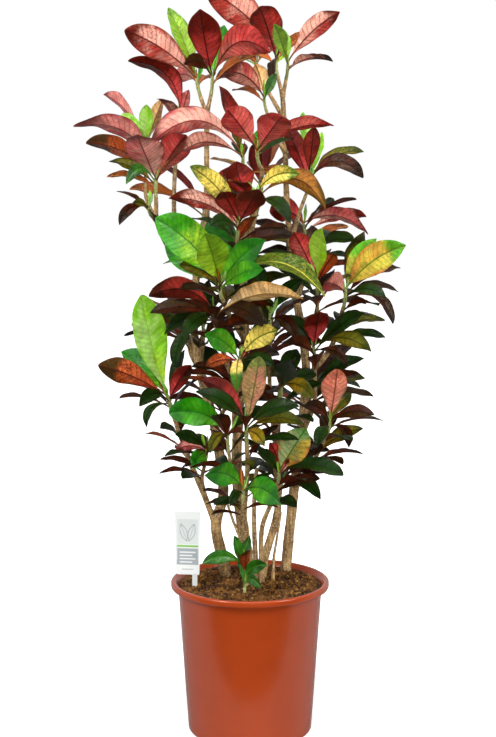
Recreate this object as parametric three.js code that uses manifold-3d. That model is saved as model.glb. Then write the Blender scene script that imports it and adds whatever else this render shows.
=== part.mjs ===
import * as THREE from "three";
import { mergeVertices } from "three/addons/utils/BufferGeometryUtils.js";
import Module from "manifold-3d";

// Potted croton: a plastic pot of soil, six woody stems and a bare twig in plain holes, leafy
// shoots on their branch ends, a sprout at the soil and a stick-in label. Millimetres, +Z up,
// origin under the middle of the pot's flat bottom. The viewer in front looks along +Y.

const wasm = await Module();
wasm.setup();

// Pot
const POT_HEIGHT = 232;
const LIP_RADIUS = 120;
const LIP_DROP = 10;
const LIP_ROUND = 2;
const LIP_WIDTH = 7;
const BODY_TOP_RADIUS = 109;
const FOOT_RADIUS = 94;
const POT_WALL = 2.6;
const POT_FLOOR = 3;
const FOOT_ROUND = 3;
const POT_FACETS = 32;
const DRAIN_RADIUS = 6;
const DRAIN_RING = 62;
const DRAIN_COUNT = 4;
const DRAIN_SIDES = 8;
const FIT_GAP = 0.3;
const HOLE_GAP = 0.4;

// Soil: a low mound whose edge stands inside the lip
const SOIL_EDGE_HEIGHT = 225;
const SOIL_MOUND = 4.5;
const SOIL_LUMP = 1.6;
const LUMP_RATES = [0.11, 0.13, 0.23];
const SOIL_RINGS = 6;

// Label: a thin board on a pointed stake
const LABEL_TOP_WIDTH = 40;
const LABEL_FOOT_WIDTH = 36;
const LABEL_HEIGHT = 96;
const LABEL_THICKNESS = 0.9;
const STAKE_WIDTH = 8;
const STAKE_LENGTH = 58;
const STAKE_INSET = 3;
const LABEL_PLACE = [-94, -20, 245];
const LABEL_YAW = -7;
const LABEL_LEAN = -3;

// Places of stems, heads and leaf tips are read on a sheet that stands in front of a viewer:
// [across, up, behind], where behind is the distance past the pot's axis, away from the viewer.
const EYE_DISTANCE = 2200;
const EYE_HEIGHT = 855;
const EYE_ASIDE = -3;
const LOOK_DOWN = 7.76;
const SHEET_DISTANCE = 2235;
const SHEET_MIDDLE = 557;

// Leaf form, as shares of the leaf's length or width
const PETIOLE_SHARE = 0.09;
const PETIOLE_HALF_WIDTH = 1.2;
const RIB_HALF_THICKNESS = 0.9;
const WIDEST_POWER = 1.3;
const EDGE_LIFT = 0.27;
const WAVE_LIFT = 0.09;
const WAVE_RATE = 9;
const WAVE_LAG = 2;
const TIP_TAPER = 8;
const BLADE_STATIONS = [0.36, 0.75];
const LEAST_WIDTH_SHARE = 0.3;
const MOST_WIDTH_SHARE = 0.44;
const DARK_SEEN_SHARE = 0.62;
const FILL_WIDTH_SHARE = 0.33;
const FILL_ROLL = 1.4;
const FILL_ARCH_SHARE = 0.1;
const FILL_RISE = [4, 42];
const FILL_REACH = [0.82, 1.04];

// Room that a leaf keeps to what stands near it, measured between sample points
const LEAF_ROOM = 9;
const FAR_AWAY = 160;
const WOOD_SAMPLE_STEP = 6;
const SAMPLES_ALONG = 12;
const SAMPLES_ACROSS = [-0.95, -0.5, 0, 0.5, 0.95];
const MIDDLE_SAMPLE = 30;
const DEPTH_TRIES = [0, 25, -25, 50, -50, 75, -75];
const ARCH_TRIES = [0, 12, -12];
const TURN_TRIES = 24;
const LEAST_ROOM = 6.5;
const GOLDEN_TURN = 137.508;
const OWN_LIMB_FREE_SHARE = 0.3;
const WOOD_FREE_SHARE = 0.12;
const OWN_FREE_SHARE = 0.45;

// Woody limbs: node, name, radius at its root and at its end, places along its middle line.
// A branch starts at a place of the limb that it grows from.
const LIMBS = [
  ["stem_left", "left", 9.4, 5.6, [[-34, 190, 40], [-37, 250, 38], [-51, 321, 36], [-40, 373, 40],
    [-52, 465, 42], [-75, 555, 38], [-85, 633, 34], [-80, 700, 34]]],
  ["stem_left", "left_low", 5, 3.4, [[-51, 321, 36], [-66, 360, 30], [-95, 430, 26], [-112, 478, 24]]],
  ["stem_left", "left_thin", 3.2, 2.6, [[-66, 360, 30], [-72, 390, 14], [-68, 412, 0]]],
  ["stem_left", "left_high", 5, 3.2, [[-80, 700, 34], [-110, 742, 20], [-138, 775, 10], [-141, 812, 5]]],
  ["stem_left", "left_inner", 3.6, 2.8, [[-110, 742, 20], [-114, 800, 34], [-112, 861, 34],
    [-107, 900, 26]]],
  ["stem_left", "left_far", 3.2, 2.4, [[-138, 775, 10], [-156, 815, 40], [-156, 865, 44]]],
  ["stem_left", "left_spur", 2.8, 2.4, [[-138, 775, 10], [-148, 786, -6]]],
  ["stem_left", "left_top", 4.6, 3.6, [[-80, 700, 34], [-66, 765, 20], [-65, 853, 10], [-65, 938, 5]]],
  ["stem_left", "left_top_outer", 3.2, 2.8, [[-65, 938, 5], [-74, 964, 0]]],
  ["stem_left", "left_top_inner", 3.2, 2.8, [[-65, 938, 5], [-59, 966, 6]]],
  ["stem_left", "left_dark", 3.6, 2.8, [[-75, 555, 38], [-72, 584, 8], [-70, 604, -12]]],
  ["stem_left", "left_rear", 4, 3, [[-80, 700, 34], [-79, 738, 70], [-72, 772, 98]]],
  ["stem_left", "left_side", 4, 3, [[-75, 555, 38], [-88, 578, 66], [-92, 600, 88]]],
  ["stem_left", "left_back", 4, 3, [[-52, 465, 42], [-44, 486, 84], [-32, 504, 112]]],
  ["stem_middle", "middle", 10, 5, [[-1, 190, 14], [-4, 265, 14], [-15, 350, 12], [-20, 421, 14],
    [-15, 510, 16], [-8, 600, 12], [-10, 690, 6], [-14, 740, -8]]],
  ["stem_middle", "middle_face", 3.6, 2.8, [[-10, 690, 6], [-20, 728, -40], [-19, 752, -62]]],
  ["stem_middle", "middle_gold", 3.4, 2.8, [[-14, 740, -8], [4, 772, -34], [8, 792, -50]]],
  ["stem_middle", "middle_fan", 4, 2.8, [[-14, 740, -8], [8, 800, 2], [18, 850, -30], [14, 862, -44]]],
  ["stem_middle", "middle_arch", 3.2, 2.6, [[8, 800, 2], [-6, 838, 0], [-9, 852, -10]]],
  ["stem_middle", "middle_green", 4, 3, [[-8, 600, 12], [-30, 635, -40], [-42, 662, -68]]],
  ["stem_middle", "middle_wine", 4, 3, [[-15, 510, 16], [-36, 570, -24], [-50, 615, -44]]],
  ["stem_middle", "middle_veined", 3.8, 2.8, [[-20, 421, 14], [-24, 490, -40], [-17, 550, -72]]],
  ["stem_middle", "middle_rear", 4, 3, [[-10, 690, 6], [2, 760, 58], [14, 808, 96]]],
  ["stem_middle", "middle_back", 4, 3, [[-8, 600, 12], [-18, 640, 70], [-30, 672, 112]]],
  ["stem_middle", "middle_heel", 3.8, 2.8, [[-15, 510, 16], [8, 548, 70], [22, 582, 108]]],
  ["stem_front", "front", 4.5, 3.2, [[-4, 195, -25], [-5, 245, -27], [-9, 290, -30], [-8, 345, -36],
    [-4, 405, -62], [-5, 446, -96]]],
  ["stem_front", "front_left", 3, 2.4, [[-8, 345, -36], [-26, 395, -64], [-32, 432, -84]]],
  ["stem_front", "front_low", 2.8, 2.3, [[-9, 290, -30], [-12, 330, -66], [-11, 356, -88]]],
  ["stem_front", "front_bare", 2.5, 1.9, [[-9, 290, -30], [-24, 325, -14], [-35, 357, -8]]],
  ["stem_slim", "slim", 4.2, 3, [[16, 195, -8], [17, 265, -8], [18, 317, -14], [32, 356, -36],
    [41, 384, -52]]],
  ["stem_slim", "slim_twin", 4.4, 2.8, [[16, 195, -8], [9, 262, -4], [6, 345, -2], [10, 408, 4]]],
  ["stem_core", "core", 7, 3.6, [[17, 190, 30], [20, 262, 29], [41, 343, 27], [40, 420, 20],
    [42, 480, 2], [45, 508, -16]]],
  ["stem_core", "core_dark", 3.4, 2.6, [[40, 420, 20], [30, 520, 40], [30, 590, 24], [30, 612, 12]]],
  ["stem_core", "core_low", 3, 2.4, [[41, 343, 27], [45, 366, 34], [47, 380, 34]]],
  ["stem_right", "right", 8.6, 5.2, [[52, 190, 64], [54, 258, 64], [66, 373, 60], [75, 450, 56],
    [84, 540, 52], [80, 600, 50], [70, 660, 48], [60, 740, 46]]],
  ["stem_right", "right_top", 4.6, 3.6, [[60, 740, 46], [55, 816, 45], [53, 880, 45], [51, 931, 45],
    [49, 965, 42]]],
  ["stem_right", "right_top_front", 3, 2.6, [[49, 965, 42], [54, 990, 32]]],
  ["stem_right", "right_top_back", 3, 2.6, [[49, 965, 42], [42, 994, 54]]],
  ["stem_right", "right_peach", 3, 2.3, [[53, 880, 45], [34, 915, 34], [25, 942, 28]]],
  ["stem_right", "right_brown", 3.4, 2.5, [[60, 740, 46], [74, 790, 24], [84, 818, 6]]],
  ["stem_right", "right_pink", 3.4, 2.6, [[70, 660, 48], [88, 712, 64], [84, 748, 70]]],
  ["stem_right", "right_crimson", 3.6, 2.7, [[80, 600, 50], [99, 640, 15], [101, 665, -6]]],
  ["stem_right", "right_sunset", 4.4, 3, [[84, 540, 52], [122, 590, 34], [140, 648, -8]]],
  ["stem_right", "right_olive", 4, 2.8, [[75, 450, 56], [96, 505, 22], [97, 562, 4]]],
  ["stem_right", "right_low", 3.8, 2.8, [[66, 373, 60], [92, 412, 22], [114, 454, -12]]],
  ["stem_right", "right_back", 4, 3, [[75, 450, 56], [84, 482, 92], [90, 512, 114]]],
  ["stem_right", "right_rear", 4, 3, [[70, 660, 48], [74, 686, 92], [78, 712, 116]]],
  ["stem_right", "right_crown", 3.4, 2.6, [[51, 931, 45], [32, 964, 78], [16, 992, 100]]],
  ["twig_bare", "bare", 2.3, 1.6, [[35, 200, 4], [35, 262, 4], [40, 300, 2], [47, 343, 0]]],
];

// Leafy shoots: node, the limb that it stands on, its head, its leaves and its filling leaves.
// A leaf is its colour, the place of its tip, the width that the viewer sees and its arch's rise.
// Filling leaves are their number, their length and their colours in turn.
const SHOOTS = [
  ["shoot_top_outer", "left_top_outer", [-80, 992, -6], [
    ["coral", [-188, 1065, -70], 46, 8], ["lime", [-123, 1098, 20], 26, 4],
    ["blush", [-119, 987, 60], 22, 12]], [2, 95, "crimson", "coral"]],
  ["shoot_top_inner", "left_top_inner", [-57, 998, 2], [
    ["crimson", [-75, 1096, -70], 50, -4], ["wine", [-99, 1013, -60], 30, 12],
    ["coral", [30, 1030, -80], 50, 34], ["green", [-38, 1072, 50], 28, 4]], [2, 92, "wine", "coral"]],
  ["shoot_top_back", "right_top_back", [39, 1026, 60], [
    ["coral", [-68, 1125, 10], 52, 14], ["crimson", [14, 1100, -20], 50, 4],
    ["wine", [34, 985, -10], 20, 16]], [3, 100, "coral", "crimson", "lime"]],
  ["shoot_top_right", "right_top_front", [57, 1017, 20], [
    ["coral", [135, 1092, -20], 30, 8], ["green", [36, 1074, -10], 22, 2],
    ["lime", [50, 1066, -20], 16, 0]], [2, 84, "wine", "coral"]],
  ["shoot_peach", "right_peach", [21, 968, 20], [
    ["peach", [8, 1014, -20], 30, 2], ["coral", [-40, 1000, -60], 34, 14],
    ["green", [40, 1000, 0], 15, 2]], [1, 80, "crimson"]],
  ["shoot_curve", "left_inner", [-105, 930, 20], [
    ["crimson", [-183, 1018, -30], 26, 30], ["green", [-66, 930, 40], 18, 10],
    ["blush", [-92, 975, 50], 16, 2]], [2, 84, "coral", "wine"]],
  ["shoot_lime", "left_far", [-155, 898, 42], [
    ["lime", [-155, 953, 30], 22, 0], ["lime", [-192, 939, 50], 18, 4],
    ["blush", [-220, 968, 70], 14, 14], ["peach", [-130, 962, 60], 18, 2],
    ["deep", [-192, 910, 10], 18, 6]], [2, 70, "lime", "coral"]],
  ["shoot_pink", "left_high", [-140, 846, 0], [
    ["blush", [-265, 920, -20], 28, 32], ["copper", [-246, 895, 30], 26, 14],
    ["coral", [-170, 908, -110], 54, 0], ["coral", [-96, 908, -80], 44, 4],
    ["green", [-186, 833, -40], 15, 22], ["olive", [-212, 868, 60], 26, 8]], [1, 90, "coral"]],
  ["shoot_spur", "left_spur", [-152, 800, -18], [
    ["wine", [-196, 772, -40], 26, 12], ["olive", [-176, 806, -50], 18, 4],
    ["deep", [-128, 742, -60], 22, 8]], [1, 60, "wine"]],
  ["shoot_arch", "middle_arch", [-10, 877, -24], [
    ["blush", [-150, 893, -90], 36, 42], ["coral", [-133, 850, -60], 22, 44],
    ["crimson", [-46, 981, 0], 24, 4], ["olive", [-36, 940, -50], 22, 4]], [1, 80, "deep"]],
  ["shoot_fan", "middle_fan", [10, 886, -64], [
    ["crimson", [-34, 945, -140], 44, 2], ["coral", [48, 935, -150], 52, 2],
    ["crimson", [126, 921, -70], 18, 16], ["deep", [66, 902, 0], 16, 4]], [1, 80, "green"]],
  ["shoot_brown", "right_brown", [88, 843, -10], [
    ["copper", [96, 920, -40], 26, 0], ["olive", [171, 882, 20], 24, 14],
    ["wine", [170, 843, -40], 34, 26], ["crimson", [54, 922, -10], 28, 2],
    ["lime", [80, 942, 30], 24, 2], ["lime", [108, 912, 50], 22, 2]], [1, 84, "coral"]],
  ["shoot_gold", "middle_gold", [8, 816, -62], [
    ["gold", [75, 848, -90], 24, 14], ["crimson", [-20, 868, 20], 46, 4],
    ["copper", [114, 794, -100], 28, 38], ["deep", [60, 775, -110], 30, 16]], [1, 90, "crimson"]],
  ["shoot_heart", "middle_face", [-16, 778, -74], [
    ["crimson", [-40, 822, -150], 40, 0], ["crimson", [12, 826, -150], 40, 0],
    ["gold", [-90, 860, -80], 28, 10], ["coral", [-60, 818, -70], 26, 4],
    ["coral", [-122, 812, -50], 26, 14], ["deep", [-60, 770, -130], 26, 10]], [1, 90, "wine"]],
  ["shoot_long_pink", "right_pink", [80, 775, 70], [
    ["blush", [177, 758, 10], 24, 20],
    ["crimson", [30, 790, -20], 40, 12]], [3, 105, "wine", "deep", "coral"]],
  ["shoot_crimson", "right_crimson", [100, 692, -16], [
    ["coral", [65, 762, -60], 36, 2], ["wine", [92, 772, 0], 48, 4],
    ["lime", [108, 768, -80], 26, 6], ["copper", [128, 730, -50], 30, 4]], [3, 95, "deep", "wine"]],
  ["shoot_sunset", "right_sunset", [143, 675, -24], [
    ["sunset", [234, 742, -70], 44, 10], ["sunset", [190, 752, -10], 30, 8],
    ["coral", [112, 686, -100], 36, 4], ["olive", [170, 762, 40], 34, 6],
    ["wine", [226, 708, 40], 24, 12], ["wine", [222, 672, 10], 22, 12],
    ["deep", [204, 664, -60], 26, 12], ["wine", [214, 624, -40], 20, 24]], [1, 90, "deep"]],
  ["shoot_green", "middle_green", [-45, 686, -84], [
    ["green", [-142, 782, -100], 58, 10], ["green", [-46, 782, -20], 50, 6],
    ["lime", [-68, 760, -160], 46, 4], ["green", [24, 750, -120], 36, 8],
    ["green", [-128, 742, -50], 40, 4], ["olive", [-106, 712, -110], 34, 10],
    ["olive", [113, 664, -90], 34, 44], ["green", [20, 706, -150], 26, 8]], [2, 90, "deep", "wine"]],
  ["shoot_wine", "middle_wine", [-52, 640, -56], [
    ["crimson", [-152, 665, -90], 36, 22], ["wine", [-150, 640, -50], 34, 10],
    ["peach", [80, 661, -130], 34, 30], ["deep", [-100, 604, -120], 34, 12],
    ["wine", [20, 620, -110], 30, 20], ["deep", [-128, 608, -80], 30, 14]], [2, 95, "deep", "wine"]],
  ["shoot_dark_left", "left_dark", [-72, 628, -30], [
    ["deep", [-112, 560, -40], 30, 12], ["deep", [-20, 586, -50], 28, 12],
    ["wine", [-118, 640, 0], 30, 10], ["deep", [-62, 690, 0], 30, 2]], [1, 90, "wine"]],
  ["shoot_dark_middle", "core_dark", [30, 640, 0], [
    ["wine", [-20, 660, -50], 34, 10], ["deep", [78, 690, -20], 36, 6],
    ["deep", [10, 716, 10], 34, 0], ["wine", [70, 600, -40], 32, 14],
    ["deep", [6, 594, -50], 30, 10]], [1, 90, "deep"]],
  ["shoot_veined", "middle_veined", [-15, 573, -84], [
    ["gold", [41, 614, -105], 34, 8], ["gold", [-20, 522, -124], 18, 20],
    ["green", [-68, 608, -130], 32, 8], ["copper", [-66, 560, -100], 20, 6],
    ["deep", [36, 560, -110], 34, 10]], [3, 90, "wine", "deep"]],
  ["shoot_olive", "right_olive", [95, 591, -6], [
    ["olive", [182, 582, -50], 34, 16], ["crimson", [104, 642, -80], 38, 2],
    ["deep", [52, 634, -50], 42, 6], ["wine", [146, 560, 0], 24, 12],
    ["deep", [172, 640, -20], 30, 8]], [2, 95, "wine", "deep"]],
  ["shoot_copper", "left_low", [-123, 515, 20], [
    ["copper", [-228, 562, -10], 40, 6], ["lime", [-162, 668, -20], 48, -6],
    ["green", [-193, 582, 60], 38, 12], ["crimson", [-88, 562, -10], 26, 4],
    ["deep", [-166, 500, -40], 24, 16], ["deep", [-155, 468, 10], 20, 16],
    ["deep", [-98, 585, 40], 26, 4]], [3, 85, "wine", "deep"]],
  ["shoot_bright", "front_left", [-33, 461, -98], [
    ["green", [-122, 490, -120], 44, 14], ["olive", [-60, 430, -130], 26, 12],
    ["deep", [20, 500, -60], 30, 8]], [2, 80, "wine", "deep"]],
  ["shoot_centre", "front", [-6, 473, -112], [
    ["deep", [-82, 522, -140], 32, 10], ["crimson", [-74, 540, -110], 26, 14],
    ["peach", [14, 575, -124], 34, -2], ["deep", [74, 500, -140], 34, 12],
    ["olive", [82, 472, -110], 30, 14], ["gold", [22, 440, -150], 20, 8]], [2, 80, "deep", "wine"]],
  ["shoot_leaf_gold", "core", [46, 530, -34], [
    ["olive", [94, 512, -80], 38, 12], ["deep", [62, 570, -110], 56, 4],
    ["deep", [100, 548, 10], 32, 8]], [4, 90, "deep", "wine"]],
  ["shoot_coral_low", "right_low", [120, 481, -22], [
    ["coral", [131, 556, -60], 42, -2], ["olive", [152, 520, 20], 30, 4],
    ["wine", [187, 487, -60], 28, 10], ["wine", [78, 500, -60], 30, 12],
    ["wine", [148, 438, 0], 26, 14], ["deep", [100, 440, -80], 26, 10]], [2, 85, "deep"]],
  ["shoot_variegated", "slim", [43, 403, -62], [
    ["sunset", [84, 468, -120], 46, 0], ["deep", [140, 396, -90], 28, 14],
    ["crimson", [30, 446, -90], 20, 4], ["deep", [10, 430, -110], 24, 8]], [3, 80, "wine", "deep"]],
  ["shoot_low_right", "core_low", [50, 392, 30], [
    ["deep", [106, 360, -20], 26, 12], ["wine", [112, 400, 60], 26, 14]], [2, 85, "deep", "olive"]],
  ["shoot_low_left", "left_thin", [-64, 435, -10], [
    ["deep", [-112, 458, -50], 26, 6], ["blush", [-112, 434, -10], 18, 8],
    ["green", [-84, 406, -60], 26, 8], ["wine", [-30, 440, 20], 24, 6]], [3, 70, "deep", "wine"]],
  ["shoot_green_pair", "front_low", [-10, 377, -94], [
    ["green", [-68, 396, -165], 36, 12], ["green", [46, 352, -165], 38, 14],
    ["deep", [-30, 350, -130], 24, 10]], [1, 60, "deep"]],
  ["shoot_rear_left", "left_rear", [-68, 800, 112], [], [5, 118, "coral", "deep", "crimson", "olive"]],
  ["shoot_rear_middle", "middle_rear", [18, 838, 112], [], [5, 118, "crimson", "coral", "gold", "deep"]],
  ["shoot_rear_right", "right_rear", [80, 742, 130], [], [5, 115, "wine", "coral", "deep", "copper"]],
  ["shoot_rear_green", "middle_back", [-36, 702, 128], [], [5, 115, "green", "deep", "sunset", "lime"]],
  ["shoot_rear_heel", "middle_heel", [28, 610, 122], [], [5, 115, "deep", "wine", "olive", "crimson"]],
  ["shoot_rear_side", "left_side", [-94, 628, 102], [], [5, 108, "deep", "gold", "wine", "green"]],
  ["shoot_rear_low", "left_back", [-26, 530, 126], [], [5, 105, "wine", "deep", "copper", "deep"]],
  ["shoot_rear_foot", "right_back", [94, 540, 128], [], [5, 105, "deep", "coral", "wine", "olive"]],
  ["shoot_rear_crown", "right_crown", [10, 1018, 112], [], [5, 105, "coral", "crimson", "lime", "coral"]],
];

// The sprout stands in the soil by itself
const SPROUT = ["sprout", [[-8, 192, -62], [-8, 262, -64]], 2.6, 2.2, [
  ["green", [-72, 264, -84], 20, 12], ["deep", [-24, 306, -70], 22, 0],
  ["copper", [-4, 284, -110], 16, 4], ["green", [26, 262, -96], 20, 8],
  ["green", [16, 228, -100], 18, 10], ["green", [0, 306, -40], 18, 4]]];

const COLOURS = {
  coral: "#c4584c", crimson: "#8e1f24", lime: "#8cc21e", green: "#3f9a1c", deep: "#1f3a1c",
  wine: "#5c1618", gold: "#d2b64e", copper: "#b4561f", peach: "#e2a868", olive: "#6e6a2a",
  sunset: "#d39a32", blush: "#df8f84", bark: "#a2784a", pot: "#b5492a", soil: "#4a2f1e",
  label: "#eeeee8",
};
const UNDERSIDE_COLOURS = ["coral", "blush", "crimson", "peach", "copper"];
const DARK_COLOURS = ["deep", "wine", "olive"];
const TWIG_SIDES = 4;
const LIMB_SIDES = 6;
const BRANCH_SIDES = 5;
const BRANCH_RADIUS = 5.5;
const TWIG_STEPS = 2;
const TWIG_TAPER = 0.7;
const SHOOT_TIP_SHARE = 0.6;
const SLIVER_SIZE = 0.02;

// Draws a share between 0 and 1 from a whole number, the same each time
function draw(number) {
  const spread = Math.sin(number * 12.9898 + 4.1) * 43758.5453;
  return spread - Math.floor(spread);
}

function between([low, high], share) {
  return low + (high - low) * share;
}

// Turns a place on the viewer's sheet into a point in space
function place([across, up, behind]) {
  const lean = THREE.MathUtils.degToRad(LOOK_DOWN);
  const rise = (up - SHEET_MIDDLE) / SHEET_DISTANCE;
  const forward = Math.cos(lean) + Math.sin(lean) * rise;
  const climb = Math.cos(lean) * rise - Math.sin(lean);
  const run = (EYE_DISTANCE + behind) / forward;
  const x = EYE_ASIDE + (run * (across - EYE_ASIDE)) / SHEET_DISTANCE;
  return new THREE.Vector3(x, behind, EYE_HEIGHT + run * climb);
}

function smoothLine(places) {
  return new THREE.CatmullRomCurve3(places.map(place), false, "catmullrom", 0.5);
}

// Joins rings of points into one closed geometry, with a flat cap on the first ring
// and a cap or a point at the far end
function closeRings(rings, tip, splitAlike = false) {
  const count = rings[0].length;
  const points = rings.flat().concat(tip ? [tip] : []);
  const faces = [];
  for (let ring = 0; ring + 1 < rings.length; ring += 1) {
    for (let side = 0; side < count; side += 1) {
      const a = ring * count + side;
      const b = ring * count + ((side + 1) % count);
      const under = splitAlike && side >= count / 2;
      faces.push(...(under ? [a, b, a + count, b, b + count, a + count]
        : [a, b, b + count, a, b + count, a + count]));
    }
  }
  const last = (rings.length - 1) * count;
  for (let side = 1; side + 1 < count; side += 1) {
    faces.push(0, side + 1, side);
    if (!tip) faces.push(last, last + side, last + side + 1);
  }
  for (let side = 0; tip && side < count; side += 1) {
    faces.push(last + side, last + ((side + 1) % count), points.length - 1);
  }
  const geometry = new THREE.BufferGeometry().setFromPoints(points);
  geometry.setIndex(faces);
  return geometry;
}

// Makes a solid of a closed geometry, and turns its faces outwards if they point in
function solidOf(geometry) {
  const bare = geometry.clone();
  bare.deleteAttribute("normal");
  bare.deleteAttribute("uv");
  const merged = mergeVertices(bare, 1e-4);
  const vertProperties = new Float32Array(merged.attributes.position.array);
  const triVerts = new Uint32Array(merged.index.array);
  const corner = (index) => new THREE.Vector3().fromArray(vertProperties, 3 * triVerts[index]);
  let volume = 0;
  for (let face = 0; face < triVerts.length; face += 3) {
    volume += corner(face).dot(corner(face + 1).cross(corner(face + 2)));
  }
  for (let face = 0; volume < 0 && face < triVerts.length; face += 3) {
    const swapped = triVerts[face];
    triVerts[face] = triVerts[face + 1];
    triVerts[face + 1] = swapped;
  }
  return new wasm.Manifold(new wasm.Mesh({ numProp: 3, vertProperties, triVerts }));
}

// Gives each corner the number of the connected shell that it belongs to
function shellsOf(triVerts, count) {
  const parent = Array.from({ length: count }, (_, index) => index);
  const rootOf = (index) => {
    let root = index;
    while (parent[root] !== root) root = parent[root];
    parent[index] = root;
    return root;
  };
  for (let corner = 0; corner < triVerts.length; corner += 1) {
    const first = triVerts[corner - (corner % 3)];
    parent[rootOf(triVerts[corner])] = rootOf(first);
  }
  return parent.map((_, index) => rootOf(index));
}

// The solid as a geometry, without slivers: its largest shell alone, so that a sealed hollow is
// filled and a loose scrap is dropped
function geometryOf(solid) {
  const mesh = solid.simplify(SLIVER_SIZE).getMesh();
  const shells = shellsOf(mesh.triVerts, mesh.vertProperties.length / 3);
  const sizes = new Map();
  mesh.triVerts.forEach((corner) => sizes.set(shells[corner], (sizes.get(shells[corner]) ?? 0) + 1));
  const largest = [...sizes.entries()].reduce((best, entry) => (entry[1] > best[1] ? entry : best))[0];
  const kept = Array.from(mesh.triVerts).filter((corner) => shells[corner] === largest);
  const geometry = new THREE.BufferGeometry();
  geometry.setAttribute("position", new THREE.BufferAttribute(mesh.vertProperties, 3));
  geometry.setIndex(kept);
  geometry.computeVertexNormals();
  return geometry;
}

function namedMesh(name, geometry, colour, roughness) {
  const material = new THREE.MeshStandardMaterial({ color: colour, roughness, metalness: 0 });
  const mesh = new THREE.Mesh(geometry, material);
  mesh.name = name;
  return mesh;
}

// A tapering tube along a curve. Its first ring may stand square to a given direction.
function taperedTube(curve, startRadius, endRadius, sides, steps, startDirection) {
  const rings = [];
  for (let step = 0; step <= steps; step += 1) {
    const share = step / steps;
    const centre = curve.getPoint(share);
    const direction = step === 0 && startDirection ? startDirection : curve.getTangent(share);
    const side = new THREE.Vector3().crossVectors(direction, new THREE.Vector3(1, 0, 0)).normalize();
    const other = new THREE.Vector3().crossVectors(direction, side).normalize();
    const radius = startRadius + (endRadius - startRadius) * share;
    rings.push(Array.from({ length: sides }, (_, index) => {
      const angle = (2 * Math.PI * index) / sides;
      return centre.clone().addScaledVector(side, radius * Math.cos(angle))
        .addScaledVector(other, radius * Math.sin(angle));
    }));
  }
  return closeRings(rings);
}

function squareTo(vector, direction) {
  return vector.clone().addScaledVector(direction, -vector.dot(direction)).normalize();
}

// The middle line of a leaf rises in an arch between its root and its tip. Its upper face looks
// up and towards the shoot, or, where the leaf has a seen width, it is rolled until it looks as
// wide as that to the viewer, with its upper side (1) or its underside (-1) in view.
function leafFrame(leaf) {
  const chord = new THREE.Vector3().subVectors(leaf.tip, leaf.root).normalize();
  const outward = new THREE.Vector3(chord.x, chord.y, 0).normalize();
  const rising = squareTo(new THREE.Vector3(0, 0, 1).addScaledVector(outward, -0.5), chord);
  let upper = rising.clone().applyAxisAngle(chord, leaf.roll);
  if (leaf.shows) {
    const toViewer = squareTo(new THREE.Vector3(0, -1, 0), chord);
    const edgeOn = new THREE.Vector3().crossVectors(chord, toViewer);
    if (edgeOn.dot(rising) < 0) edgeOn.negate();
    const share = Math.min(0.97, leaf.seen / leaf.width);
    upper = toViewer.multiplyScalar(leaf.shows * share)
      .addScaledVector(edgeOn, Math.sqrt(1 - share * share));
  }
  const side = new THREE.Vector3().crossVectors(chord, upper);
  const knee = new THREE.Vector3().addVectors(leaf.root, leaf.tip).multiplyScalar(0.5)
    .addScaledVector(rising, 2 * leaf.arch);
  return { side, knee };
}

// A point of the leaf at a share of its length, moved across its width by a share from -1 to 1.
// The half width follows a sine whose widest place lies past the middle. The edges stand up
// from the midrib and wave in turn.
function leafPoint(leaf, frame, along, across) {
  const rest = 1 - along;
  const middle = leaf.root.clone().multiplyScalar(rest * rest)
    .addScaledVector(frame.knee, 2 * rest * along).addScaledVector(leaf.tip, along * along);
  const heading = new THREE.Vector3().subVectors(frame.knee, leaf.root).multiplyScalar(rest)
    .addScaledVector(new THREE.Vector3().subVectors(leaf.tip, frame.knee), along).normalize();
  const side = squareTo(frame.side, heading);
  const normal = new THREE.Vector3().crossVectors(side, heading);
  const blade = Math.max(0, (along - PETIOLE_SHARE) / (1 - PETIOLE_SHARE));
  const swell = Math.sin(Math.PI * blade ** WIDEST_POWER);
  const half = Math.max(PETIOLE_HALF_WIDTH * Math.min(1, TIP_TAPER * rest), (leaf.width / 2) * swell);
  const wave = WAVE_LIFT * swell * Math.sin(WAVE_RATE * blade + leaf.phase + WAVE_LAG * across);
  const lift = half * Math.abs(across) * EDGE_LIFT + (leaf.width / 2) * Math.abs(across) * wave;
  return { point: middle.addScaledVector(side, half * across).addScaledVector(normal, lift), normal };
}

// A thin closed blade on its stalk: four corners at each station, edge, upper rib, edge, under rib
function leafSolid(leaf) {
  const frame = leafFrame(leaf);
  const stations = [0, ...BLADE_STATIONS.map((share) => PETIOLE_SHARE + share * (1 - PETIOLE_SHARE))];
  const rings = stations.map((along) => {
    const rib = leafPoint(leaf, frame, along, 0);
    const over = rib.point.clone().addScaledVector(rib.normal, RIB_HALF_THICKNESS);
    const under = rib.point.clone().addScaledVector(rib.normal, -RIB_HALF_THICKNESS);
    return [leafPoint(leaf, frame, along, -1).point, over, leafPoint(leaf, frame, along, 1).point, under];
  });
  return solidOf(closeRings(rings, leaf.tip.clone(), true));
}

// Sample points of a leaf, each with its share of the length
function leafSamples(leaf) {
  const frame = leafFrame(leaf);
  const samples = [];
  for (let row = 0; row < SAMPLES_ALONG; row += 1) {
    const along = (row + 0.5) / SAMPLES_ALONG;
    for (const across of SAMPLES_ACROSS) {
      samples.push({ point: leafPoint(leaf, frame, along, across).point, along });
    }
  }
  return samples;
}

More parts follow.
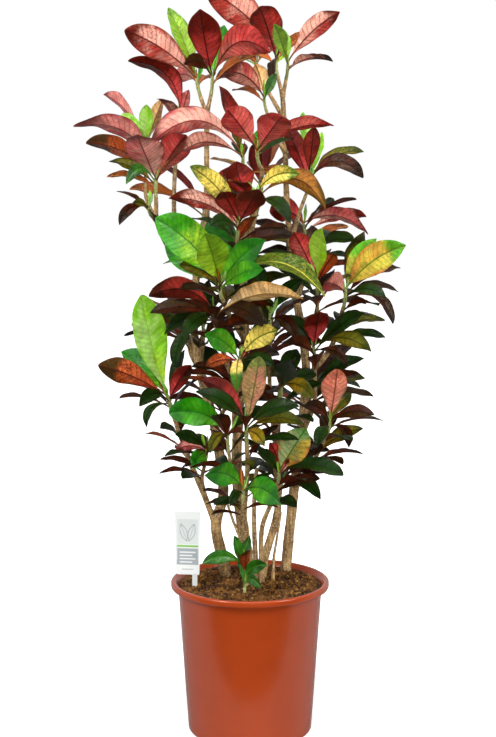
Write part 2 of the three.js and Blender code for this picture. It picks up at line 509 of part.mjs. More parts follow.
// Room between a leaf and what already stands: wood is left out near the leaf's root,
// and so are the inner parts of leaves on the same shoot
function roomAround(samples, shoot, limb, standing) {
  let room = Infinity;
  for (const thing of standing) {
    if (thing.shoot === shoot && thing.wood) continue;
    if (samples[MIDDLE_SAMPLE].point.distanceTo(thing.centre) - thing.reach > FAR_AWAY) continue;
    for (const sample of samples) {
      const free = thing.shoot === limb ? OWN_LIMB_FREE_SHARE : WOOD_FREE_SHARE;
      if (thing.wood && sample.along < free) continue;
      if (thing.shoot === shoot && sample.along < OWN_FREE_SHARE) continue;
      for (const other of thing.samples) {
        if (thing.shoot === shoot && other.along < OWN_FREE_SHARE) continue;
        room = Math.min(room, sample.point.distanceTo(other.point) - other.radius);
      }
    }
  }
  return room;
}

function standingThing(samples, shoot, wood) {
  const centre = samples[Math.floor(samples.length / 2)].point;
  const reach = Math.max(...samples.map((sample) => sample.point.distanceTo(centre)));
  return { samples: samples.map((sample) => ({ radius: 0, ...sample })), shoot, wood, centre, reach };
}

// Takes the first way of growing that has room, or the one with the most room
function roomiest(ways, shoot, limb, standing) {
  let best = null;
  for (const leaf of ways) {
    const samples = leafSamples(leaf);
    const room = roomAround(samples, shoot, limb, standing);
    if (!best || room > best.room) best = { leaf, samples, room };
    if (room >= LEAF_ROOM) break;
  }
  return best;
}

// A leaf whose tip is given keeps its place as the viewer sees it, and moves nearer or farther.
// Dark leaves lie flatter, so the viewer sees less of their width.
function* tipWays(root, [colour, tip, wide, arch], phase) {
  const seen = wide * (DARK_COLOURS.includes(colour) ? DARK_SEEN_SHARE : 1);
  const reach = root.distanceTo(place(tip));
  const width = THREE.MathUtils.clamp(seen, LEAST_WIDTH_SHARE * reach, MOST_WIDTH_SHARE * reach);
  const shows = UNDERSIDE_COLOURS.includes(colour) ? -1 : 1;
  for (const lift of ARCH_TRIES) {
    for (const depth of DEPTH_TRIES) {
      const moved = place([tip[0], tip[1], tip[2] + depth]);
      yield { colour, root, tip: moved, width, seen, shows, arch: arch + lift, phase };
    }
  }
}

// A filling leaf turns about the shoot by the golden angle until it has room
function* turnWays(root, colour, length, number) {
  for (let attempt = 0; attempt < TURN_TRIES; attempt += 1) {
    const turn = THREE.MathUtils.degToRad(GOLDEN_TURN * (number + attempt) + 360 * draw(number));
    const rise = THREE.MathUtils.degToRad(between(FILL_RISE, draw(number + 31 * attempt + 7)));
    const reach = length * between(FILL_REACH, draw(number + 3));
    const tip = new THREE.Vector3(Math.cos(turn) * Math.cos(rise), Math.sin(turn) * Math.cos(rise),
      Math.sin(rise)).multiplyScalar(reach).add(root);
    const roll = FILL_ROLL * (draw(number + 11) - 0.5);
    const phase = 6.3 * draw(number + 5);
    const width = FILL_WIDTH_SHARE * reach;
    yield { colour, root, tip, width, arch: FILL_ARCH_SHARE * reach, roll, phase };
  }
}

function curveSamples(curve, startRadius, endRadius) {
  const steps = Math.ceil(curve.getLength() / WOOD_SAMPLE_STEP);
  return Array.from({ length: steps + 1 }, (_, step) => ({
    point: curve.getPoint(step / steps),
    radius: startRadius + ((endRadius - startRadius) * step) / steps,
    along: 1,
  }));
}

// A shoot's twig: it starts on the cut end of its limb, a fit gap away, and keeps its direction
function twigOf([name, limbName, head]) {
  const limb = LIMBS.find((row) => row[1] === limbName);
  const curve = smoothLine(limb[4]);
  const direction = curve.getTangent(1);
  const start = curve.getPoint(1).addScaledVector(direction, FIT_GAP);
  const end = place(head);
  const bend = start.clone().addScaledVector(direction, start.distanceTo(end) / 2);
  return { name, curve: new THREE.QuadraticBezierCurve3(start, bend, end), direction, radius: limb[3] };
}

// Every leaf of the plant: those with given tips first, then those that fill
function growLeaves() {
  const standing = LIMBS.map(([, name, start, end, places]) =>
    standingThing(curveSamples(smoothLine(places), start, end), name, true));
  const twigs = SHOOTS.map(twigOf);
  const sproutCurve = smoothLine(SPROUT[1]);
  twigs.push({ name: SPROUT[0], curve: sproutCurve, radius: SPROUT[2] });
  twigs.forEach((twig) => {
    const samples = curveSamples(twig.curve, twig.radius, twig.radius * TWIG_TAPER);
    standing.push(standingThing(samples, twig.name, true));
  });
  const rows = [...SHOOTS, [SPROUT[0], "", null, SPROUT[4], [0, 0]]];
  const leaves = rows.map(() => []);
  const grow = (index, ways, leastRoom) => {
    const best = roomiest(ways, rows[index][0], rows[index][1], standing);
    if (best.room < leastRoom) return;
    standing.push(standingThing(best.samples, rows[index][0], false));
    leaves[index].push(best.leaf);
  };
  rows.forEach((row, index) => row[3].forEach((leaf, order) => {
    const share = 1 - (SHOOT_TIP_SHARE * order) / Math.max(3, row[3].length + row[4][0]);
    const ways = tipWays(twigs[index].curve.getPoint(share), leaf, 6.3 * draw(17 * index + order));
    grow(index, ways, -Infinity);
  }));
  rows.forEach((row, index) => {
    const [count, length, ...colours] = row[4];
    for (let order = 0; order < count; order += 1) {
      const total = Math.max(3, row[3].length + count);
      const share = 1 - (SHOOT_TIP_SHARE * (row[3].length + order)) / total;
      const root = twigs[index].curve.getPoint(share);
      const ways = turnWays(root, colours[order % colours.length], length, 40 * index + order);
      grow(index, ways, LEAST_ROOM);
    }
  });
  return { rows, twigs, leaves };
}

function limbTube([, , start, end, places], extra = 0) {
  const sides = start > BRANCH_RADIUS ? LIMB_SIDES : BRANCH_SIDES;
  const steps = Math.max(2, places.length - 1);
  return solidOf(taperedTube(smoothLine(places), start + extra, end + extra, sides, steps));
}

function stemMeshes() {
  const names = [...new Set(LIMBS.map((row) => row[0]))];
  return names.map((name) => {
    const tubes = LIMBS.filter((row) => row[0] === name).map((row) => limbTube(row));
    const solid = tubes.reduce((whole, tube) => whole.add(tube));
    return namedMesh(name, geometryOf(solid), COLOURS.bark, 0.85);
  });
}

function shootMeshes(grown) {
  return grown.rows.map(([name], index) => {
    const twig = grown.twigs[index];
    const tube = taperedTube(twig.curve, twig.radius, twig.radius * TWIG_TAPER, TWIG_SIDES, TWIG_STEPS,
      twig.direction);
    const solid = grown.leaves[index].reduce((whole, leaf) => whole.add(leafSolid(leaf)), solidOf(tube));
    return namedMesh(name, geometryOf(solid), COLOURS[grown.leaves[index][0].colour], 0.4);
  });
}

function wallRadius(height) {
  return FOOT_RADIUS + ((BODY_TOP_RADIUS - FOOT_RADIUS) * height) / (POT_HEIGHT - LIP_DROP);
}

// The inner wall flares inside the lip
function innerRadius(height) {
  const lipFoot = POT_HEIGHT - LIP_DROP;
  const flare = (height - lipFoot) / (LIP_DROP - LIP_ROUND);
  const foot = BODY_TOP_RADIUS - POT_WALL;
  if (height < lipFoot) return wallRadius(height) - POT_WALL;
  return foot + (LIP_RADIUS - LIP_WIDTH - foot) * flare;
}

// A profile turned about the upright axis
function turned(profile, facets) {
  const points = profile.map(([radius, height]) => new THREE.Vector2(radius, height));
  return new THREE.LatheGeometry(points, facets).rotateX(Math.PI / 2);
}

function potMesh() {
  const lipFoot = POT_HEIGHT - LIP_DROP;
  const wall = turned([
    [0, 0], [FOOT_RADIUS - FOOT_ROUND, 0], [FOOT_RADIUS, FOOT_ROUND],
    [BODY_TOP_RADIUS, lipFoot - LIP_ROUND], [LIP_RADIUS - LIP_ROUND, lipFoot],
    [LIP_RADIUS, lipFoot + LIP_ROUND], [LIP_RADIUS, POT_HEIGHT - LIP_ROUND],
    [LIP_RADIUS - LIP_ROUND, POT_HEIGHT], [LIP_RADIUS - LIP_WIDTH + LIP_ROUND, POT_HEIGHT],
    [LIP_RADIUS - LIP_WIDTH, POT_HEIGHT - LIP_ROUND], [innerRadius(lipFoot), lipFoot],
    [wallRadius(POT_FLOOR) - POT_WALL, POT_FLOOR], [0, POT_FLOOR],
  ], POT_FACETS);
  let solid = solidOf(wall);
  for (let index = 0; index < DRAIN_COUNT; index += 1) {
    const angle = (2 * Math.PI * index) / DRAIN_COUNT;
    const drain = new THREE.CylinderGeometry(DRAIN_RADIUS, DRAIN_RADIUS, 4 * POT_FLOOR, DRAIN_SIDES);
    drain.rotateX(Math.PI / 2);
    drain.translate(DRAIN_RING * Math.cos(angle), DRAIN_RING * Math.sin(angle), POT_FLOOR / 2);
    solid = solid.subtract(solidOf(drain));
  }
  return namedMesh("pot", geometryOf(solid), COLOURS.pot, 0.45);
}

// Height of the soil's top: a low mound with small lumps that fade out at the edge
function soilHeight(x, y) {
  const share = Math.min(1, Math.hypot(x, y) / BODY_TOP_RADIUS);
  const [along, aside, slanting] = LUMP_RATES;
  const lumps = Math.sin(along * x) * Math.cos(aside * y) + Math.sin(slanting * (x - y)) / 2;
  return SOIL_EDGE_HEIGHT + SOIL_MOUND * (1 - share * share) + SOIL_LUMP * lumps * (1 - share ** 4);
}

function soilMesh() {
  const bottom = POT_FLOOR + FIT_GAP;
  const inset = 2 * FIT_GAP;
  const lipFoot = POT_HEIGHT - LIP_DROP;
  const edge = innerRadius(SOIL_EDGE_HEIGHT) - inset;
  const rings = Array.from({ length: SOIL_RINGS }, (_, ring) =>
    [edge * (1 - ring / SOIL_RINGS), SOIL_EDGE_HEIGHT]);
  const body = turned([[0, bottom], [innerRadius(bottom) - inset, bottom],
    [innerRadius(lipFoot) - inset, lipFoot], ...rings, [0, SOIL_EDGE_HEIGHT]], POT_FACETS);
  const spots = body.attributes.position;
  for (let index = 0; index < spots.count; index += 1) {
    if (spots.getZ(index) > lipFoot) {
      spots.setZ(index, soilHeight(spots.getX(index), spots.getY(index)));
    }
  }
  let solid = solidOf(body);
  for (const row of LIMBS.filter((limb) => limb[4][0][1] < SOIL_EDGE_HEIGHT)) {
    solid = solid.subtract(limbTube(row, HOLE_GAP));
  }
  const sprout = taperedTube(smoothLine(SPROUT[1]), SPROUT[2] + HOLE_GAP, SPROUT[3] + HOLE_GAP,
    TWIG_SIDES, TWIG_STEPS);
  solid = solid.subtract(solidOf(sprout)).subtract(solidOf(labelGeometry(FIT_GAP)));
  return namedMesh("soil", geometryOf(solid), COLOURS.soil, 0.95);
}

// The label's outline, grown by a margin for its slot in the soil
function labelGeometry(margin) {
  const outline = new THREE.Shape();
  const stakeLeft = LABEL_FOOT_WIDTH / 2 - STAKE_INSET - STAKE_WIDTH - margin;
  const stakeRight = LABEL_FOOT_WIDTH / 2 - STAKE_INSET + margin;
  outline.moveTo(-LABEL_FOOT_WIDTH / 2, 0);
  outline.lineTo(stakeLeft, 0);
  outline.lineTo(stakeLeft, -STAKE_LENGTH + STAKE_WIDTH);
  outline.lineTo((stakeLeft + stakeRight) / 2, -STAKE_LENGTH - margin);
  outline.lineTo(stakeRight, -STAKE_LENGTH + STAKE_WIDTH);
  outline.lineTo(stakeRight, 0);
  outline.lineTo(LABEL_FOOT_WIDTH / 2, 0);
  outline.lineTo(LABEL_TOP_WIDTH / 2, LABEL_HEIGHT);
  outline.lineTo(-LABEL_TOP_WIDTH / 2, LABEL_HEIGHT);
  const depth = LABEL_THICKNESS + 2 * margin;
  const board = new THREE.ExtrudeGeometry(outline, { depth, bevelEnabled: false });
  board.translate(0, 0, -depth / 2).rotateX(Math.PI / 2);
  board.rotateX(THREE.MathUtils.degToRad(LABEL_LEAN)).rotateZ(THREE.MathUtils.degToRad(LABEL_YAW));
  return board.translate(...LABEL_PLACE);
}

function labelMesh() {
  return namedMesh("label", geometryOf(solidOf(labelGeometry(0))), COLOURS.label, 0.35);
}

const plant = new THREE.Group();
plant.add(potMesh(), soilMesh(), labelMesh(), ...stemMeshes(), ...shootMeshes(growLeaves()));

export default plant;
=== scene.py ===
"""Potted croton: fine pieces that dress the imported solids, and the studio around them."""

import math
from itertools import product

import bpy
import numpy as np
from bpy.props import FloatProperty, FloatVectorProperty, IntProperty, PointerProperty
from bpy.types import Operator, Panel, PropertyGroup
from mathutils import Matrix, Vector


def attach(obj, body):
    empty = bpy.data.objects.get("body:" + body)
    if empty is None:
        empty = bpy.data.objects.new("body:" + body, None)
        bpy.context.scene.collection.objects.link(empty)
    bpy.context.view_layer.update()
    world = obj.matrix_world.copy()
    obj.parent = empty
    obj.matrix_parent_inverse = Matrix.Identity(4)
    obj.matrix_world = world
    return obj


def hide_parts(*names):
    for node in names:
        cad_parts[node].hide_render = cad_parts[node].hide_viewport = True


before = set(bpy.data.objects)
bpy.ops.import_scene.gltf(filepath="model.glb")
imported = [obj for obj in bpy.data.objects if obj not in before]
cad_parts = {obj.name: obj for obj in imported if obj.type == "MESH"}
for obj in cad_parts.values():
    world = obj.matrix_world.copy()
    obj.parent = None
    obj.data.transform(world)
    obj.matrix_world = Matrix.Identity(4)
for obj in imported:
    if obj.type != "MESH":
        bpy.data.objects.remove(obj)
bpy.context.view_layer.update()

bl_info = {
    "name": "Potted croton",
    "version": (1, 0, 0),
    "blender": (4, 5, 0),
    "location": "3D View > Sidebar > Croton",
    "description": "Builds the pot, soil, label, stems and leaves of a potted croton",
    "category": "Object",
}

MM = 0.001

# About a full turn, in radians, for drawn angles
TURN = 6.3

# Pot, in millimetres
POT_HEIGHT = 232
LIP_RADIUS = 120
LIP_DROP = 10
LIP_WIDTH = 7
BODY_TOP_RADIUS = 109
FOOT_RADIUS = 94
POT_WALL = 2.6
POT_FLOOR = 3
DRAIN_RADIUS = 6
DRAIN_RING = 62
DRAIN_COUNT = 4
POT_SECTORS = 160

# Soil, in millimetres
SOIL_EDGE_HEIGHT = 225
SOIL_MOUND = 4.5
SOIL_LUMP = 1.6
LUMP_RATES = (0.11, 0.13, 0.23)
SOIL_RINGS = 72
SOIL_SECTORS = 220
SOIL_GAP = 0.6
SOIL_FOOT_CUT = 4

# Label, in millimetres and degrees
LABEL_TOP_WIDTH = 40
LABEL_FOOT_WIDTH = 36
LABEL_HEIGHT = 96
LABEL_THICKNESS = 0.9
STAKE_WIDTH = 8
STAKE_LENGTH = 58
STAKE_INSET = 3
LABEL_PLACE = (-94, -20, 245)
LABEL_YAW = -7
LABEL_LEAN = -3

# The sheet on which places of stems, heads and leaf tips are read: [across, up, behind]
EYE_DISTANCE = 2200
EYE_HEIGHT = 855
EYE_ASIDE = -3
LOOK_DOWN = 7.76
SHEET_DISTANCE = 2235
SHEET_MIDDLE = 557
PICTURE_WIDTH = 496
FOCAL_PIXELS = 1490
SENSOR_WIDTH = 36

# Leaf form, as shares of the leaf's length or width
PETIOLE_SHARE = 0.09
PETIOLE_HALF_WIDTH = 1.2
WIDEST_POWER = 1.3
EDGE_LIFT = 0.27
WAVE_LIFT = 0.09
WAVE_RATE = 9
WAVE_LAG = 2
TIP_TAPER = 8
LEAST_WIDTH_SHARE = 0.3
MOST_WIDTH_SHARE = 0.44
DARK_SEEN_SHARE = 0.62
FILL_WIDTH_SHARE = 0.33
FILL_ROLL = 1.4
FILL_ARCH_SHARE = 0.1
FILL_RISE = (4, 42)
FILL_REACH = (0.82, 1.04)

# Room that a leaf keeps to what stands near it
FIT_GAP = 0.3
LEAF_ROOM = 9
SAMPLES_ALONG = 12
SAMPLES_ACROSS = (-0.95, -0.5, 0, 0.5, 0.95)
WOOD_SAMPLE_STEP = 6
DEPTH_TRIES = (0, 25, -25, 50, -50, 75, -75)
ARCH_TRIES = (0, 12, -12)
TURN_TRIES = 24
LEAST_ROOM = 6.5
GOLDEN_TURN = 137.508
OWN_LIMB_FREE_SHARE = 0.3
WOOD_FREE_SHARE = 0.12
OWN_FREE_SHARE = 0.45
SHOOT_TIP_SHARE = 0.6
TWIG_TAPER = 0.7
BUD_ROOM = 6
BUD_SEED = 3000

# Woody limbs of each node: name, radius at its root and at its end, places along its middle line
LIMBS = {
    "stem_left": {
        "left": (9.4, 5.6, [(-34, 190, 40), (-37, 250, 38), (-51, 321, 36), (-40, 373, 40),
            (-52, 465, 42), (-75, 555, 38), (-85, 633, 34), (-80, 700, 34)]),
        "left_low": (5, 3.4, [(-51, 321, 36), (-66, 360, 30), (-95, 430, 26), (-112, 478, 24)]),
        "left_thin": (3.2, 2.6, [(-66, 360, 30), (-72, 390, 14), (-68, 412, 0)]),
        "left_high": (5, 3.2, [(-80, 700, 34), (-110, 742, 20), (-138, 775, 10), (-141, 812, 5)]),
        "left_inner": (3.6, 2.8, [(-110, 742, 20), (-114, 800, 34), (-112, 861, 34),
            (-107, 900, 26)]),
        "left_far": (3.2, 2.4, [(-138, 775, 10), (-156, 815, 40), (-156, 865, 44)]),
        "left_spur": (2.8, 2.4, [(-138, 775, 10), (-148, 786, -6)]),
        "left_top": (4.6, 3.6, [(-80, 700, 34), (-66, 765, 20), (-65, 853, 10), (-65, 938, 5)]),
        "left_top_outer": (3.2, 2.8, [(-65, 938, 5), (-74, 964, 0)]),
        "left_top_inner": (3.2, 2.8, [(-65, 938, 5), (-59, 966, 6)]),
        "left_dark": (3.6, 2.8, [(-75, 555, 38), (-72, 584, 8), (-70, 604, -12)]),
        "left_rear": (4, 3, [(-80, 700, 34), (-79, 738, 70), (-72, 772, 98)]),
        "left_side": (4, 3, [(-75, 555, 38), (-88, 578, 66), (-92, 600, 88)]),
        "left_back": (4, 3, [(-52, 465, 42), (-44, 486, 84), (-32, 504, 112)]),
    },
    "stem_middle": {
        "middle": (10, 5, [(-1, 190, 14), (-4, 265, 14), (-15, 350, 12), (-20, 421, 14),
            (-15, 510, 16), (-8, 600, 12), (-10, 690, 6), (-14, 740, -8)]),
        "middle_face": (3.6, 2.8, [(-10, 690, 6), (-20, 728, -40), (-19, 752, -62)]),
        "middle_gold": (3.4, 2.8, [(-14, 740, -8), (4, 772, -34), (8, 792, -50)]),
        "middle_fan": (4, 2.8, [(-14, 740, -8), (8, 800, 2), (18, 850, -30), (14, 862, -44)]),
        "middle_arch": (3.2, 2.6, [(8, 800, 2), (-6, 838, 0), (-9, 852, -10)]),
        "middle_green": (4, 3, [(-8, 600, 12), (-30, 635, -40), (-42, 662, -68)]),
        "middle_wine": (4, 3, [(-15, 510, 16), (-36, 570, -24), (-50, 615, -44)]),
        "middle_veined": (3.8, 2.8, [(-20, 421, 14), (-24, 490, -40), (-17, 550, -72)]),
        "middle_rear": (4, 3, [(-10, 690, 6), (2, 760, 58), (14, 808, 96)]),
        "middle_back": (4, 3, [(-8, 600, 12), (-18, 640, 70), (-30, 672, 112)]),
        "middle_heel": (3.8, 2.8, [(-15, 510, 16), (8, 548, 70), (22, 582, 108)]),
    },
    "stem_front": {
        "front": (4.5, 3.2, [(-4, 195, -25), (-5, 245, -27), (-9, 290, -30), (-8, 345, -36),
            (-4, 405, -62), (-5, 446, -96)]),
        "front_left": (3, 2.4, [(-8, 345, -36), (-26, 395, -64), (-32, 432, -84)]),
        "front_low": (2.8, 2.3, [(-9, 290, -30), (-12, 330, -66), (-11, 356, -88)]),
        "front_bare": (2.5, 1.9, [(-9, 290, -30), (-24, 325, -14), (-35, 357, -8)]),
    },
    "stem_slim": {
        "slim": (4.2, 3, [(16, 195, -8), (17, 265, -8), (18, 317, -14), (32, 356, -36),
            (41, 384, -52)]),
        "slim_twin": (4.4, 2.8, [(16, 195, -8), (9, 262, -4), (6, 345, -2), (10, 408, 4)]),
    },
    "stem_core": {
        "core": (7, 3.6, [(17, 190, 30), (20, 262, 29), (41, 343, 27), (40, 420, 20),
            (42, 480, 2), (45, 508, -16)]),
        "core_dark": (3.4, 2.6, [(40, 420, 20), (30, 520, 40), (30, 590, 24), (30, 612, 12)]),
        "core_low": (3, 2.4, [(41, 343, 27), (45, 366, 34), (47, 380, 34)]),
    },
    "stem_right": {
        "right": (8.6, 5.2, [(52, 190, 64), (54, 258, 64), (66, 373, 60), (75, 450, 56),
            (84, 540, 52), (80, 600, 50), (70, 660, 48), (60, 740, 46)]),
        "right_top": (4.6, 3.6, [(60, 740, 46), (55, 816, 45), (53, 880, 45), (51, 931, 45),
            (49, 965, 42)]),
        "right_top_front": (3, 2.6, [(49, 965, 42), (54, 990, 32)]),
        "right_top_back": (3, 2.6, [(49, 965, 42), (42, 994, 54)]),
        "right_peach": (3, 2.3, [(53, 880, 45), (34, 915, 34), (25, 942, 28)]),
        "right_brown": (3.4, 2.5, [(60, 740, 46), (74, 790, 24), (84, 818, 6)]),
        "right_pink": (3.4, 2.6, [(70, 660, 48), (88, 712, 64), (84, 748, 70)]),
        "right_crimson": (3.6, 2.7, [(80, 600, 50), (99, 640, 15), (101, 665, -6)]),
        "right_sunset": (4.4, 3, [(84, 540, 52), (122, 590, 34), (140, 648, -8)]),
        "right_olive": (4, 2.8, [(75, 450, 56), (96, 505, 22), (97, 562, 4)]),
        "right_low": (3.8, 2.8, [(66, 373, 60), (92, 412, 22), (114, 454, -12)]),
        "right_back": (4, 3, [(75, 450, 56), (84, 482, 92), (90, 512, 114)]),
        "right_rear": (4, 3, [(70, 660, 48), (74, 686, 92), (78, 712, 116)]),
        "right_crown": (3.4, 2.6, [(51, 931, 45), (32, 964, 78), (16, 992, 100)]),
    },
    "twig_bare": {
        "bare": (2.3, 1.6, [(35, 200, 4), (35, 262, 4), (40, 300, 2), (47, 343, 0)]),
    },
}
ALL_LIMBS = {name: limb for limbs in LIMBS.values() for name, limb in limbs.items()}

BARE_ENDS = ("front_bare", "slim_twin", "bare")

